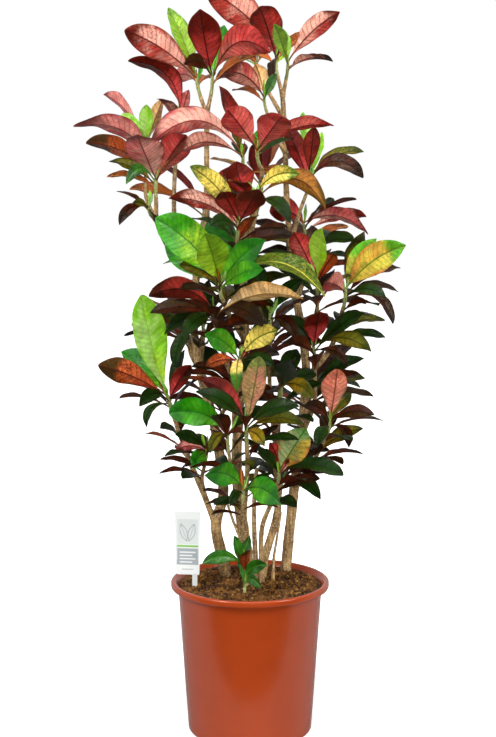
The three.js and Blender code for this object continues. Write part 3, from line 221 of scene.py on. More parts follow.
# Leafy shoots: name, the limb that it stands on, its head, its leaves and its filling leaves.
# A leaf is its colour, the place of its tip, the width that the viewer sees and its arch's rise.
# Filling leaves are their number, their length and their colours in turn.
SHOOTS = [
    ("top_outer", "left_top_outer", (-80, 992, -6), [
        ("coral", (-188, 1065, -70), 46, 8), ("lime", (-123, 1098, 20), 26, 4),
        ("blush", (-119, 987, 60), 22, 12)], (2, 95, "crimson", "coral")),
    ("top_inner", "left_top_inner", (-57, 998, 2), [
        ("crimson", (-75, 1096, -70), 50, -4), ("wine", (-99, 1013, -60), 30, 12),
        ("coral", (30, 1030, -80), 50, 34), ("green", (-38, 1072, 50), 28, 4)], (2, 92, "wine", "coral")),
    ("top_back", "right_top_back", (39, 1026, 60), [
        ("coral", (-68, 1125, 10), 52, 14), ("crimson", (14, 1100, -20), 50, 4),
        ("wine", (34, 985, -10), 20, 16)], (3, 100, "coral", "crimson", "lime")),
    ("top_right", "right_top_front", (57, 1017, 20), [
        ("coral", (135, 1092, -20), 30, 8), ("green", (36, 1074, -10), 22, 2),
        ("lime", (50, 1066, -20), 16, 0)], (2, 84, "wine", "coral")),
    ("peach", "right_peach", (21, 968, 20), [
        ("peach", (8, 1014, -20), 30, 2), ("coral", (-40, 1000, -60), 34, 14),
        ("green", (40, 1000, 0), 15, 2)], (1, 80, "crimson")),
    ("curve", "left_inner", (-105, 930, 20), [
        ("crimson", (-183, 1018, -30), 26, 30), ("green", (-66, 930, 40), 18, 10),
        ("blush", (-92, 975, 50), 16, 2)], (2, 84, "coral", "wine")),
    ("lime", "left_far", (-155, 898, 42), [
        ("lime", (-155, 953, 30), 22, 0), ("lime", (-192, 939, 50), 18, 4),
        ("blush", (-220, 968, 70), 14, 14), ("peach", (-130, 962, 60), 18, 2),
        ("deep", (-192, 910, 10), 18, 6)], (2, 70, "lime", "coral")),
    ("pink", "left_high", (-140, 846, 0), [
        ("blush", (-265, 920, -20), 28, 32), ("copper", (-246, 895, 30), 26, 14),
        ("coral", (-170, 908, -110), 54, 0), ("coral", (-96, 908, -80), 44, 4),
        ("green", (-186, 833, -40), 15, 22), ("olive", (-212, 868, 60), 26, 8)], (1, 90, "coral")),
    ("spur", "left_spur", (-152, 800, -18), [
        ("wine", (-196, 772, -40), 26, 12), ("olive", (-176, 806, -50), 18, 4),
        ("deep", (-128, 742, -60), 22, 8)], (1, 60, "wine")),
    ("arch", "middle_arch", (-10, 877, -24), [
        ("blush", (-150, 893, -90), 36, 42), ("coral", (-133, 850, -60), 22, 44),
        ("crimson", (-46, 981, 0), 24, 4), ("olive", (-36, 940, -50), 22, 4)], (1, 80, "deep")),
    ("fan", "middle_fan", (10, 886, -64), [
        ("crimson", (-34, 945, -140), 44, 2), ("coral", (48, 935, -150), 52, 2),
        ("crimson", (126, 921, -70), 18, 16), ("deep", (66, 902, 0), 16, 4)], (1, 80, "green")),
    ("brown", "right_brown", (88, 843, -10), [
        ("copper", (96, 920, -40), 26, 0), ("olive", (171, 882, 20), 24, 14),
        ("wine", (170, 843, -40), 34, 26), ("crimson", (54, 922, -10), 28, 2),
        ("lime", (80, 942, 30), 24, 2), ("lime", (108, 912, 50), 22, 2)], (1, 84, "coral")),
    ("gold", "middle_gold", (8, 816, -62), [
        ("gold", (75, 848, -90), 24, 14), ("crimson", (-20, 868, 20), 46, 4),
        ("copper", (114, 794, -100), 28, 38), ("deep", (60, 775, -110), 30, 16)], (1, 90, "crimson")),
    ("heart", "middle_face", (-16, 778, -74), [
        ("crimson", (-40, 822, -150), 40, 0), ("crimson", (12, 826, -150), 40, 0),
        ("gold", (-90, 860, -80), 28, 10), ("coral", (-60, 818, -70), 26, 4),
        ("coral", (-122, 812, -50), 26, 14), ("deep", (-60, 770, -130), 26, 10)], (1, 90, "wine")),
    ("long_pink", "right_pink", (80, 775, 70), [
        ("blush", (177, 758, 10), 24, 20),
        ("crimson", (30, 790, -20), 40, 12)], (3, 105, "wine", "deep", "coral")),
    ("crimson", "right_crimson", (100, 692, -16), [
        ("coral", (65, 762, -60), 36, 2), ("wine", (92, 772, 0), 48, 4),
        ("lime", (108, 768, -80), 26, 6), ("copper", (128, 730, -50), 30, 4)], (3, 95, "deep", "wine")),
    ("sunset", "right_sunset", (143, 675, -24), [
        ("sunset", (234, 742, -70), 44, 10), ("sunset", (190, 752, -10), 30, 8),
        ("coral", (112, 686, -100), 36, 4), ("olive", (170, 762, 40), 34, 6),
        ("wine", (226, 708, 40), 24, 12), ("wine", (222, 672, 10), 22, 12),
        ("deep", (204, 664, -60), 26, 12), ("wine", (214, 624, -40), 20, 24)], (1, 90, "deep")),
    ("green", "middle_green", (-45, 686, -84), [
        ("green", (-142, 782, -100), 58, 10), ("green", (-46, 782, -20), 50, 6),
        ("lime", (-68, 760, -160), 46, 4), ("green", (24, 750, -120), 36, 8),
        ("green", (-128, 742, -50), 40, 4), ("olive", (-106, 712, -110), 34, 10),
        ("olive", (113, 664, -90), 34, 44), ("green", (20, 706, -150), 26, 8)], (2, 90, "deep", "wine")),
    ("wine", "middle_wine", (-52, 640, -56), [
        ("crimson", (-152, 665, -90), 36, 22), ("wine", (-150, 640, -50), 34, 10),
        ("peach", (80, 661, -130), 34, 30), ("deep", (-100, 604, -120), 34, 12),
        ("wine", (20, 620, -110), 30, 20), ("deep", (-128, 608, -80), 30, 14)], (2, 95, "deep", "wine")),
    ("dark_left", "left_dark", (-72, 628, -30), [
        ("deep", (-112, 560, -40), 30, 12), ("deep", (-20, 586, -50), 28, 12),
        ("wine", (-118, 640, 0), 30, 10), ("deep", (-62, 690, 0), 30, 2)], (1, 90, "wine")),
    ("dark_middle", "core_dark", (30, 640, 0), [
        ("wine", (-20, 660, -50), 34, 10), ("deep", (78, 690, -20), 36, 6),
        ("deep", (10, 716, 10), 34, 0), ("wine", (70, 600, -40), 32, 14),
        ("deep", (6, 594, -50), 30, 10)], (1, 90, "deep")),
    ("veined", "middle_veined", (-15, 573, -84), [
        ("gold", (41, 614, -105), 34, 8), ("gold", (-20, 522, -124), 18, 20),
        ("green", (-68, 608, -130), 32, 8), ("copper", (-66, 560, -100), 20, 6),
        ("deep", (36, 560, -110), 34, 10)], (3, 90, "wine", "deep")),
    ("olive", "right_olive", (95, 591, -6), [
        ("olive", (182, 582, -50), 34, 16), ("crimson", (104, 642, -80), 38, 2),
        ("deep", (52, 634, -50), 42, 6), ("wine", (146, 560, 0), 24, 12),
        ("deep", (172, 640, -20), 30, 8)], (2, 95, "wine", "deep")),
    ("copper", "left_low", (-123, 515, 20), [
        ("copper", (-228, 562, -10), 40, 6), ("lime", (-162, 668, -20), 48, -6),
        ("green", (-193, 582, 60), 38, 12), ("crimson", (-88, 562, -10), 26, 4),
        ("deep", (-166, 500, -40), 24, 16), ("deep", (-155, 468, 10), 20, 16),
        ("deep", (-98, 585, 40), 26, 4)], (3, 85, "wine", "deep")),
    ("bright", "front_left", (-33, 461, -98), [
        ("green", (-122, 490, -120), 44, 14), ("olive", (-60, 430, -130), 26, 12),
        ("deep", (20, 500, -60), 30, 8)], (2, 80, "wine", "deep")),
    ("centre", "front", (-6, 473, -112), [
        ("deep", (-82, 522, -140), 32, 10), ("crimson", (-74, 540, -110), 26, 14),
        ("peach", (14, 575, -124), 34, -2), ("deep", (74, 500, -140), 34, 12),
        ("olive", (82, 472, -110), 30, 14), ("gold", (22, 440, -150), 20, 8)], (2, 80, "deep", "wine")),
    ("leaf_gold", "core", (46, 530, -34), [
        ("olive", (94, 512, -80), 38, 12), ("deep", (62, 570, -110), 56, 4),
        ("deep", (100, 548, 10), 32, 8)], (4, 90, "deep", "wine")),
    ("coral_low", "right_low", (120, 481, -22), [
        ("coral", (131, 556, -60), 42, -2), ("olive", (152, 520, 20), 30, 4),
        ("wine", (187, 487, -60), 28, 10), ("wine", (78, 500, -60), 30, 12),
        ("wine", (148, 438, 0), 26, 14), ("deep", (100, 440, -80), 26, 10)], (2, 85, "deep")),
    ("variegated", "slim", (43, 403, -62), [
        ("sunset", (84, 468, -120), 46, 0), ("deep", (140, 396, -90), 28, 14),
        ("crimson", (30, 446, -90), 20, 4), ("deep", (10, 430, -110), 24, 8)], (3, 80, "wine", "deep")),
    ("low_right", "core_low", (50, 392, 30), [
        ("deep", (106, 360, -20), 26, 12), ("wine", (112, 400, 60), 26, 14)], (2, 85, "deep", "olive")),
    ("low_left", "left_thin", (-64, 435, -10), [
        ("deep", (-112, 458, -50), 26, 6), ("blush", (-112, 434, -10), 18, 8),
        ("green", (-84, 406, -60), 26, 8), ("wine", (-30, 440, 20), 24, 6)], (3, 70, "deep", "wine")),
    ("green_pair", "front_low", (-10, 377, -94), [
        ("green", (-68, 396, -165), 36, 12), ("green", (46, 352, -165), 38, 14),
        ("deep", (-30, 350, -130), 24, 10)], (1, 60, "deep")),
    ("rear_left", "left_rear", (-68, 800, 112), [], (5, 118, "coral", "deep", "crimson", "olive")),
    ("rear_middle", "middle_rear", (18, 838, 112), [], (5, 118, "crimson", "coral", "gold", "deep")),
    ("rear_right", "right_rear", (80, 742, 130), [], (5, 115, "wine", "coral", "deep", "copper")),
    ("rear_green", "middle_back", (-36, 702, 128), [], (5, 115, "green", "deep", "sunset", "lime")),
    ("rear_heel", "middle_heel", (28, 610, 122), [], (5, 115, "deep", "wine", "olive", "crimson")),
    ("rear_side", "left_side", (-94, 628, 102), [], (5, 108, "deep", "gold", "wine", "green")),
    ("rear_low", "left_back", (-26, 530, 126), [], (5, 105, "wine", "deep", "copper", "deep")),
    ("rear_foot", "right_back", (94, 540, 128), [], (5, 105, "deep", "coral", "wine", "olive")),
    ("rear_crown", "right_crown", (10, 1018, 112), [], (5, 105, "coral", "crimson", "lime", "coral")),
]

# Leaves that grow below a shoot's twig, on its limb, and the limb's share that bears them
LIMB_LEAVES = ("deep", "wine", "deep", "olive", "wine", "deep")
LIMB_LEAF_SEED = 900
LIMB_LEAVES_BELOW = 800
LIMB_LEAF_REACH = (0.5, 0.97)
LIMB_LEAF_LENGTH = 0.95
LIMB_LEAF_ROOM = 5
LIMB_LEAF_HEIGHT = 345

# The sprout stands in the soil by itself
SPROUT = ("sprout", [(-8, 192, -62), (-8, 262, -64)], 2.6, 2.2, [
    ("green", (-72, 264, -84), 20, 12), ("deep", (-24, 306, -70), 22, 0),
    ("copper", (-4, 284, -110), 16, 4), ("green", (26, 262, -96), 20, 8),
    ("green", (16, 228, -100), 18, 10), ("green", (0, 306, -40), 18, 4)])

UNDERSIDE_COLOURS = ("coral", "blush", "crimson", "peach", "copper")
DARK_COLOURS = ("deep", "wine", "olive")

# What a leaf side looks like: colours of its base, field, second field, tip, edge and veins, then how far
# tip and edge colours reach in, how much one half differs, how strongly its veins show and how speckled it
# is. The second field covers one half and some patches. It is partly the leaf's own second colour and, where
# it is paler, partly painted sheen, as if light fell brighter on that half.
LOOKS = {
    "coral": ("#e68e78", "#cc4a40", "#f6b8a2", "#641e0e", "#9c302a", "#521210", 0.3, 0.14, 0.95, 0.9, 0.6),
    "blush": ("#e8a890", "#d8625e", "#f0b8a4", "#6e3a34", "#b44850", "#7c282c", 0.18, 0.12, 0.75, 0.65, 0.3),
    "crimson": ("#d04a4a", "#9b241a", "#c4413b", "#5c1106", "#661107", "#370806", 0.4, 0.24, 0.7, 0.7, 0.5),
    "peach": ("#f4d4a0", "#f0c484", "#ecae80", "#cc9054", "#d49c60", "#a0642c", 0.12, 0.1, 0.5, 0.45, 0.3),
    "copper": ("#b42c14", "#b04c1c", "#c86034", "#3c300e", "#443010", "#4c1a0a", 0.28, 0.3, 0.8, 0.85, 0.85),
    "lime": ("#a8cc2a", "#78b41a", "#b4d67c", "#70ac1a", "#78b428", "#94c43c", 0.15, 0.08, 0.8, 0.45, 0.0),
    "green": ("#78b018", "#28860a", "#68b01c", "#1c7408", "#2c8c10", "#28740f", 0.3, 0.1, 0.8, 0.55, 0.3),
    "jade": ("#447c14", "#245c10", "#347014", "#16400a", "#1c500e", "#3c7820", 0.3, 0.15, 0.5, 0.35, 0.15),
    "caramel": ("#c88848", "#b87834", "#a86c30", "#5c4418", "#6c3c14", "#5c3810", 0.2, 0.2, 0.6, 0.6, 0.4),
    "netted": ("#3a6a10", "#14420a", "#205408", "#0e3a06", "#184c0a", "#b4ac3a", 0.4, 0.16, 0.5, 0.5, 0.3),
    # citron: a brighter copy of lime, painted light for a leaf that stands in shade
    "citron": ("#b8dc2c", "#98cc1c", "#c0e05c", "#80b81c", "#8cbc24", "#b0d848", 0.15, 0.08, 0.6, 0.4, 0.0),
    "salmon": ("#e49880", "#dc7c64", "#cc886c", "#a85c44", "#8c6c4c", "#74301e", 0.12, 0.14, 0.5, 0.8, 0.5),
    "apple": ("#c4d824", "#74b414", "#b0cc20", "#3c960c", "#4ca00c", "#246c0c", 0.35, 0.12, 0.95, 0.75, 0.5),
    "harlequin": ("#e89434", "#ecc050", "#b0c48c", "#84a864", "#d07838", "#347414",
        0.2, 0.1, 0.95, 0.95, 0.5),
    # tan: a brighter copy of the peach underside, painted light for a leaf that faces down into shade
    "tan": ("#ffe4ac", "#ffd48c", "#fcc888", "#cca458", "#c08c44", "#885d22", 0.15, 0.14, 0.6, 0.75, 0.45),
    "ochre": ("#947020", "#806c10", "#8c6414", "#4c4c0c", "#5c4c0c", "#3c3c08", 0.3, 0.15, 0.5, 0.5, 0.3),
    "rose": ("#e47c6a", "#d0423f", "#e07163", "#a32f2a", "#ab2f2e", "#561011", 0.2, 0.12, 0.8, 0.9, 0.45),
    "russet": ("#7c2418", "#661c10", "#a03028", "#381408", "#481a0c", "#340e06", 0.3, 0.2, 0.8, 0.6, 0.5),
    "mottled": ("#dc8c74", "#d4846c", "#98904c", "#6c7434", "#6c7030", "#5c6030", 0.14, 0.16, 0.8, 0.7, 0.9),
    "netted_gold": ("#edcc68", "#e9cc58", "#e5d060", "#708928", "#afa238", "#3e5310",
        0.16, 0.12, 0.5, 0.9, 0.95),
    "leek": ("#5c9c0c", "#288604", "#54a414", "#166408", "#1c700c", "#1c600c", 0.3, 0.12, 0.7, 0.6, 0.3),
    # pear: a darker copy of lime, painted shade for top leaves under strong light
    "pear": ("#8cac1a", "#78a41c", "#9cb42c", "#5c8c18", "#608c18", "#5c7c18", 0.25, 0.16, 0.6, 0.55, 0.2),
    # deep, wine, olive and maroon: the leaves' own dark colours, darkened further as painted shade of the
    # crowded inner foliage
    "deep": ("#2c3606", "#123004", "#1f3406", "#142404", "#281a04", "#0a1c01", 0.25, 0.2, 0.7, 0.45, 0.4),
    "wine": ("#6a1c0a", "#3c1404", "#2c2604", "#1f1001", "#2d1002", "#170901", 0.3, 0.25, 0.7, 0.5, 0.4),
    "gold": ("#ecb878", "#e4c060", "#f0d878", "#30641a", "#cc9848", "#4a5a18", 0.3, 0.08, 0.35, 0.8, 0.45),
    "olive": ("#835e14", "#54560b", "#755c12", "#2a2f03", "#3a2d04", "#2a3104", 0.25, 0.2, 0.5, 0.55, 0.6),
    "sunset": ("#cc6c38", "#cc983c", "#a8b83c", "#54a01c", "#bc6c34", "#547418", 0.42, 0.14, 0.8, 0.65, 0.5),
    "bronze": ("#a14b1d", "#773412", "#8e4716", "#3a1b08", "#511f0a", "#ad682a", 0.3, 0.2, 0.6, 0.4, 0.4),
    "maroon": ("#782e10", "#561e0a", "#64340e", "#2b1203", "#411804", "#2f1403", 0.25, 0.15, 0.5, 0.5, 0.15),
    "moss": ("#b0d060", "#7cb83c", "#94c450", "#68a830", "#80b848", "#a8cc78", 0.2, 0.1, 0.3, 0.35, 0.0),
}

# Each leaf colour's upper side and underside
SIDES = {
    "coral": ("bronze", "coral"), "blush": ("bronze", "blush"), "crimson": ("bronze", "crimson"),
    "peach": ("gold", "peach"), "copper": ("bronze", "copper"), "lime": ("lime", "moss"),
    "green": ("green", "moss"), "deep": ("deep", "maroon"), "wine": ("wine", "maroon"),
    "gold": ("gold", "peach"), "olive": ("olive", "copper"), "sunset": ("sunset", "peach"),
    "jade": ("jade", "moss"), "netted": ("netted", "moss"),
    "rose": ("bronze", "rose"), "russet": ("bronze", "russet"), "mottled": ("mottled", "mottled"),
    "netted_gold": ("netted_gold", "peach"), "leek": ("leek", "moss"), "pear": ("pear", "pear"),
    "tan": ("tan", "tan"), "ochre": ("ochre", "copper"), "apple": ("apple", "moss"),
    "harlequin": ("harlequin", "peach"), "citron": ("citron", "moss"), "salmon": ("bronze", "salmon"),
    "caramel": ("caramel", "caramel"),
}
YOUNG_COLOURS = ("lime", "green")

# Leaves of a shoot, by their number in its row, that look otherwise than their colour says. Citron and tan
# are brightened copies of lime and peach that paint light onto leaves in shade, and pear is a darkened copy
# of lime that paints shade onto top leaves under strong light.
OTHER_LOOKS = {
    "fan": {0: "rose", 1: "rose", 2: "rose"}, "top_inner": {2: "rose"},
    "crimson": {0: "rose", 2: "citron"}, "heart": {2: "netted_gold", 3: "rose"},
    "pink": {2: "blush", 3: "rose", 4: "jade"}, "wine": {0: "russet", 2: "tan"},
    "veined": {0: "netted_gold"}, "leaf_gold": {0: "ochre"},
    "centre": {2: "mottled", 5: "ochre"},
    "green": {0: "apple", 2: "pear", 3: "leek", 6: "netted"},
    "gold": {0: "netted_gold", 2: "caramel"}, "top_outer": {1: "pear"},
    "top_right": {1: "pear"}, "coral_low": {0: "salmon"}, "brown": {0: "russet"},
    "variegated": {0: "harlequin"}, "bright": {0: "leek"},
    "green_pair": {0: "leek", 1: "leek"},
}


def draw(number):
    """A share between 0 and 1 from a whole number: the fraction of a steep sine."""
    spread = math.sin(number * 12.9898 + 4.1) * 43758.5453
    return spread - math.floor(spread)


def between(ends, share):
    return ends[0] + (ends[1] - ends[0]) * share


def smooth(low, high, value):
    """Rises from 0 at low to 1 at high along an S curve."""
    share = np.clip((value - low) / (high - low), 0, 1)
    return share * share * (3 - 2 * share)


def unit(vectors):
    return vectors / np.maximum(np.linalg.norm(vectors, axis=-1, keepdims=True), 1e-12)


def square_to(vectors, direction):
    """The part of the vectors that stands square to the direction, made one long."""
    along = np.sum(vectors * direction, axis=-1, keepdims=True)
    return unit(vectors - along * direction)


def hashed(cells, seed):
    """A share between 0 and 1 for each whole-number cell, from multiplied and mixed bits."""
    x, y, z = (cells[..., axis].astype(np.int64) for axis in range(3))
    mixed = (x * 73856093) ^ (y * 19349663) ^ (z * 83492791) ^ (int(seed) * 265443576)
    mixed = ((mixed ^ (mixed >> 13)) & 0x7FFFFFFF) * 1274126177
    mixed = (mixed ^ (mixed >> 16)) & 0xFFFFFF
    return mixed / 0xFFFFFF


def drift(spots, seed=0):
    """Smooth noise between 0 and 1: shares at the corners of unit cells, eased between them."""
    cells = np.floor(spots)
    rest = spots - cells
    ease = rest * rest * (3 - 2 * rest)
    total = 0
    for corner in product((0, 1), repeat=3):
        weight = np.prod(np.where(corner, ease, 1 - ease), axis=-1)
        total = total + weight * hashed(cells + np.array(corner), seed)
    return total


def place(rows):
    """Turns rows of (across, up, behind) on the viewer's sheet into points, in millimetres."""
    across, up, behind = np.atleast_2d(np.asarray(rows, float)).T
    lean = math.radians(LOOK_DOWN)
    rise = (up - SHEET_MIDDLE) / SHEET_DISTANCE
    forward = math.cos(lean) + math.sin(lean) * rise
    climb = math.cos(lean) * rise - math.sin(lean)
    run = (EYE_DISTANCE + behind) / forward
    x = EYE_ASIDE + run * (across - EYE_ASIDE) / SHEET_DISTANCE
    return np.stack([x, behind, EYE_HEIGHT + run * climb], axis=1)


def smooth_line(points):
    """A line through the points: on each span a cubic whose slopes are half the chords around."""
    fence = np.vstack([2 * points[0] - points[1], points, 2 * points[-1] - points[-2]])
    last = len(points) - 1

    def at(share):
        spot = np.clip(np.asarray(share, float), 0, 1) * last
        span = np.minimum(spot.astype(int), last - 1)
        rest = (spot - span)[..., None]
        before, start, end, after = (fence[span + step] for step in range(4))
        leave = (end - before) / 2
        arrive = (after - start) / 2
        return (start + leave * rest + (3 * (end - start) - 2 * leave - arrive) * rest**2
                + (2 * (start - end) + leave + arrive) * rest**3)

    return at


def bent_line(start, bend, end):
    """A line from start to end that leans towards the bend, weighted by squared shares."""

    def at(share):
        share = np.asarray(share, float)[..., None]
        return (1 - share)**2 * start + 2 * (1 - share) * share * bend + share**2 * end

    return at


def heading_of(line, share):
    share = np.asarray(share, float)
    return unit(line(np.minimum(share + 1e-4, 1)) - line(np.maximum(share - 1e-4, 0)))


def length_of(line):
    spots = line(np.linspace(0, 1, 201))
    return float(np.linalg.norm(np.diff(spots, axis=0), axis=1).sum())


class Leaf:
    """A leaf's measures and its frame: the side that its blade spreads to, and the knee of its arch."""

    def __init__(self, colour, root, tip, width, arch, phase, seen=0, shows=0, roll=0):
        self.colour, self.root, self.tip = colour, root, tip
        self.look = colour
        self.width, self.phase, self.shows = width, phase, shows
        self.length = float(np.linalg.norm(tip - root))
        chord = unit(tip - root)
        outward = unit(chord * (1, 1, 0))
        rising = square_to(np.array([0, 0, 1.0]) - 0.5 * outward, chord)
        upper = rising * math.cos(roll) + np.cross(chord, rising) * math.sin(roll)
        if shows:
            to_viewer = square_to(np.array([0, -1.0, 0]), chord)
            edge_on = np.cross(chord, to_viewer)
            if edge_on @ rising < 0:
                edge_on = -edge_on
            share = min(0.97, seen / width)
            upper = to_viewer * shows * share + edge_on * math.sqrt(1 - share * share)
        self.side = np.cross(chord, upper)
        self.knee = (root + tip) / 2 + rising * 2 * arch


def leaf_spots(leaf, along, across, swell_of, extra_lift=0):
    """Points of a leaf at shares of its length and width. The middle line is an arch weighted by
    squared shares. The half width follows swell_of, and the edges stand up from the midrib and
    wave in turn. Returns the points, the normals and the half width."""
    rest = 1 - along
    middle = (rest**2)[..., None] * leaf.root + (2 * rest * along)[..., None] * leaf.knee \
        + (along**2)[..., None] * leaf.tip
    heading = unit(rest[..., None] * (leaf.knee - leaf.root) + along[..., None] * (leaf.tip - leaf.knee))
    side = square_to(np.broadcast_to(leaf.side, heading.shape), heading)
    normal = np.cross(side, heading)
    blade = np.maximum(0, (along - PETIOLE_SHARE) / (1 - PETIOLE_SHARE))
    swell = swell_of(blade)
    half = np.maximum(PETIOLE_HALF_WIDTH * np.minimum(1, TIP_TAPER * rest), leaf.width / 2 * swell)
    wave = WAVE_LIFT * swell * np.sin(WAVE_RATE * blade + leaf.phase + WAVE_LAG * across)
    lift = half * np.abs(across) * EDGE_LIFT + leaf.width / 2 * np.abs(across) * wave + extra_lift
    return middle + side * (half * across)[..., None] + normal * lift[..., None], normal, half


def plain_swell(blade):
    """The half width as a share: a sine whose widest place lies past the middle."""
    return np.sin(np.pi * blade**WIDEST_POWER)


SAMPLE_ALONG, SAMPLE_ACROSS = (grid.ravel() for grid in np.meshgrid(
    (np.arange(SAMPLES_ALONG) + 0.5) / SAMPLES_ALONG, SAMPLES_ACROSS, indexing="ij"))


class Standing:
    """Everything that a new leaf keeps clear of, as sample points with radii."""

    def __init__(self):
        self.points = np.zeros((0, 3))
        self.radius = np.zeros(0)
        self.along = np.zeros(0)
        self.owner = np.zeros(0, int)
        self.wood = np.zeros(0, bool)
        self.names = {}

    def number(self, name):
        return self.names.setdefault(name, len(self.names))

    def add(self, points, name, wood, radius=0.0, along=1.0):
        count = len(points)
        self.points = np.vstack([self.points, points])
        self.radius = np.append(self.radius, np.broadcast_to(radius, count))
        self.along = np.append(self.along, np.broadcast_to(along, count))
        self.owner = np.append(self.owner, np.full(count, self.number(name)))
        self.wood = np.append(self.wood, np.full(count, wood))

    def add_wood(self, line, start, end, name):
        steps = math.ceil(length_of(line) / WOOD_SAMPLE_STEP)
        shares = np.arange(steps + 1) / steps
        self.add(line(shares), name, True, start + (end - start) * shares)

    def room(self, samples, shoot, limb):
        """The least distance to what stands near: wood is left out near the leaf's root, and so
        are the inner parts of leaves on the same shoot."""
        centre = samples.mean(axis=0)
        reach = np.linalg.norm(samples - centre, axis=1).max() + 4 * LEAF_ROOM
        own = self.owner == self.number(shoot)
        near = np.linalg.norm(self.points - centre, axis=1) < reach
        near &= ~(own & self.wood) & ~(own & ~self.wood & (self.along < OWN_FREE_SHARE))
        points, radius = self.points[near], self.radius[near]
        free = np.where(self.owner[near] == self.number(limb), OWN_LIMB_FREE_SHARE, WOOD_FREE_SHARE)
        free = np.where(self.wood[near], free, np.where(own[near], OWN_FREE_SHARE, 0))
        gaps = np.linalg.norm(samples[:, None] - points[None], axis=2) - radius
        gaps[SAMPLE_ALONG[:, None] < free[None]] = np.inf
        return gaps.min() if gaps.size else np.inf

    def clear_of_others(self, bud, shoot):
        """Tells whether a bud leaf keeps its room to the leaves of other shoots. If so, it stands."""
        samples = leaf_spots(bud, SAMPLE_ALONG, SAMPLE_ACROSS, plain_swell)[0]
        others = self.points[(self.owner != self.number(shoot)) & ~self.wood]
        clear = np.linalg.norm(samples[:, None] - others[None], axis=2).min() > BUD_ROOM
        if clear:
            self.add(samples, shoot, False, along=SAMPLE_ALONG)
        return clear


def tip_ways(root, row, phase):
    """A leaf whose tip is given keeps its place as seen, and moves nearer or farther. Dark leaves
    lie flatter, so the viewer sees less of their width."""
    colour, tip, wide, arch = row
    seen = wide * (DARK_SEEN_SHARE if colour in DARK_COLOURS else 1)
    reach = float(np.linalg.norm(place(tip)[0] - root))
    width = min(max(seen, LEAST_WIDTH_SHARE * reach), MOST_WIDTH_SHARE * reach)
    shows = -1 if colour in UNDERSIDE_COLOURS else 1
    for lift in ARCH_TRIES:
        for depth in DEPTH_TRIES:
            moved = place((tip[0], tip[1], tip[2] + depth))[0]
            yield Leaf(colour, root, moved, width, arch + lift, phase, seen, shows)


def turn_ways(root, colour, length, number):
    """A filling leaf turns about the shoot by the golden angle until it has room."""
    for attempt in range(TURN_TRIES):
        turn = math.radians(GOLDEN_TURN * (number + attempt) + 360 * draw(number))
        rise = math.radians(between(FILL_RISE, draw(number + 31 * attempt + 7)))
        reach = length * between(FILL_REACH, draw(number + 3))
        aim = np.array([math.cos(turn) * math.cos(rise), math.sin(turn) * math.cos(rise), math.sin(rise)])
        roll = FILL_ROLL * (draw(number + 11) - 0.5)
        yield Leaf(colour, root, root + aim * reach, FILL_WIDTH_SHARE * reach, FILL_ARCH_SHARE * reach,
                   TURN * draw(number + 5), roll=roll)


def twig_of(row):
    """A shoot's twig: it starts a fit gap past the end of its limb and keeps its direction."""
    name, limb_name, head = row[:3]
    _, radius, places = ALL_LIMBS[limb_name]
    line = smooth_line(place(places))
    heading = heading_of(line, 1.0)
    start = line(1.0) + heading * FIT_GAP
    end = place(head)[0]
    bend = start + heading * np.linalg.norm(end - start) / 2
    return {"name": name, "line": bent_line(start, bend, end), "radius": radius, "heading": heading}


def grow():
    """Every leaf of the plant: those with given tips first, then those that fill."""
    standing = Standing()
    for name, (start, end, places) in ALL_LIMBS.items():
        standing.add_wood(smooth_line(place(places)), start, end, name)
    twigs = [twig_of(row) for row in SHOOTS]
    twigs.append({"name": SPROUT[0], "line": smooth_line(place(SPROUT[1])), "radius": SPROUT[2]})
    for twig in twigs:
        standing.add_wood(twig["line"], twig["radius"], twig["radius"] * TWIG_TAPER, twig["name"])
    rows = SHOOTS + [(SPROUT[0], "", None, SPROUT[4], (0, 0))]
    for twig in twigs:
        twig["leaves"] = []

    def settle(index, ways, least_room):
        best, best_room, best_samples = None, -math.inf, None
        for leaf in ways:
            samples = leaf_spots(leaf, SAMPLE_ALONG, SAMPLE_ACROSS, plain_swell)[0]
            room = standing.room(samples, rows[index][0], rows[index][1])
            if room > best_room:
                best, best_room, best_samples = leaf, room, samples
            if room >= LEAF_ROOM:
                break
        if best_room < least_room:
            return
        standing.add(best_samples, rows[index][0], False, along=SAMPLE_ALONG)
        twigs[index]["leaves"].append(best)

    for index, row in enumerate(rows):
        for order, leaf in enumerate(row[3]):
            share = 1 - SHOOT_TIP_SHARE * order / max(3, len(row[3]) + row[4][0])
            ways = tip_ways(twigs[index]["line"](share), leaf, TURN * draw(17 * index + order))
            settle(index, ways, -math.inf)
    for index, row in enumerate(rows):
        count, length, *colours = row[4]
        for order in range(count):
            total = max(3, len(row[3]) + count)
            share = 1 - SHOOT_TIP_SHARE * (len(row[3]) + order) / total
            ways = turn_ways(twigs[index]["line"](share), colours[order % len(colours)], length,
                             40 * index + order)
            settle(index, ways, LEAST_ROOM)
    for index, row in enumerate(SHOOTS):
        if row[2][1] < LIMB_LEAVES_BELOW:
            add_limb_leaves(index, row, settle)
    for leaf in twigs[-1]["leaves"]:
        leaf.look = "jade" if leaf.colour in ("green", "deep") else leaf.colour
    for index, twig in enumerate(twigs):
        for number, leaf in enumerate(twig["leaves"]):
            leaf.look = OTHER_LOOKS.get(twig["name"], {}).get(number, leaf.look)
        twig["buds"] = [leaf for leaf in bud_leaves(twig, BUD_SEED + 50 * index)
                        if standing.clear_of_others(leaf, twig["name"])]
    return twigs


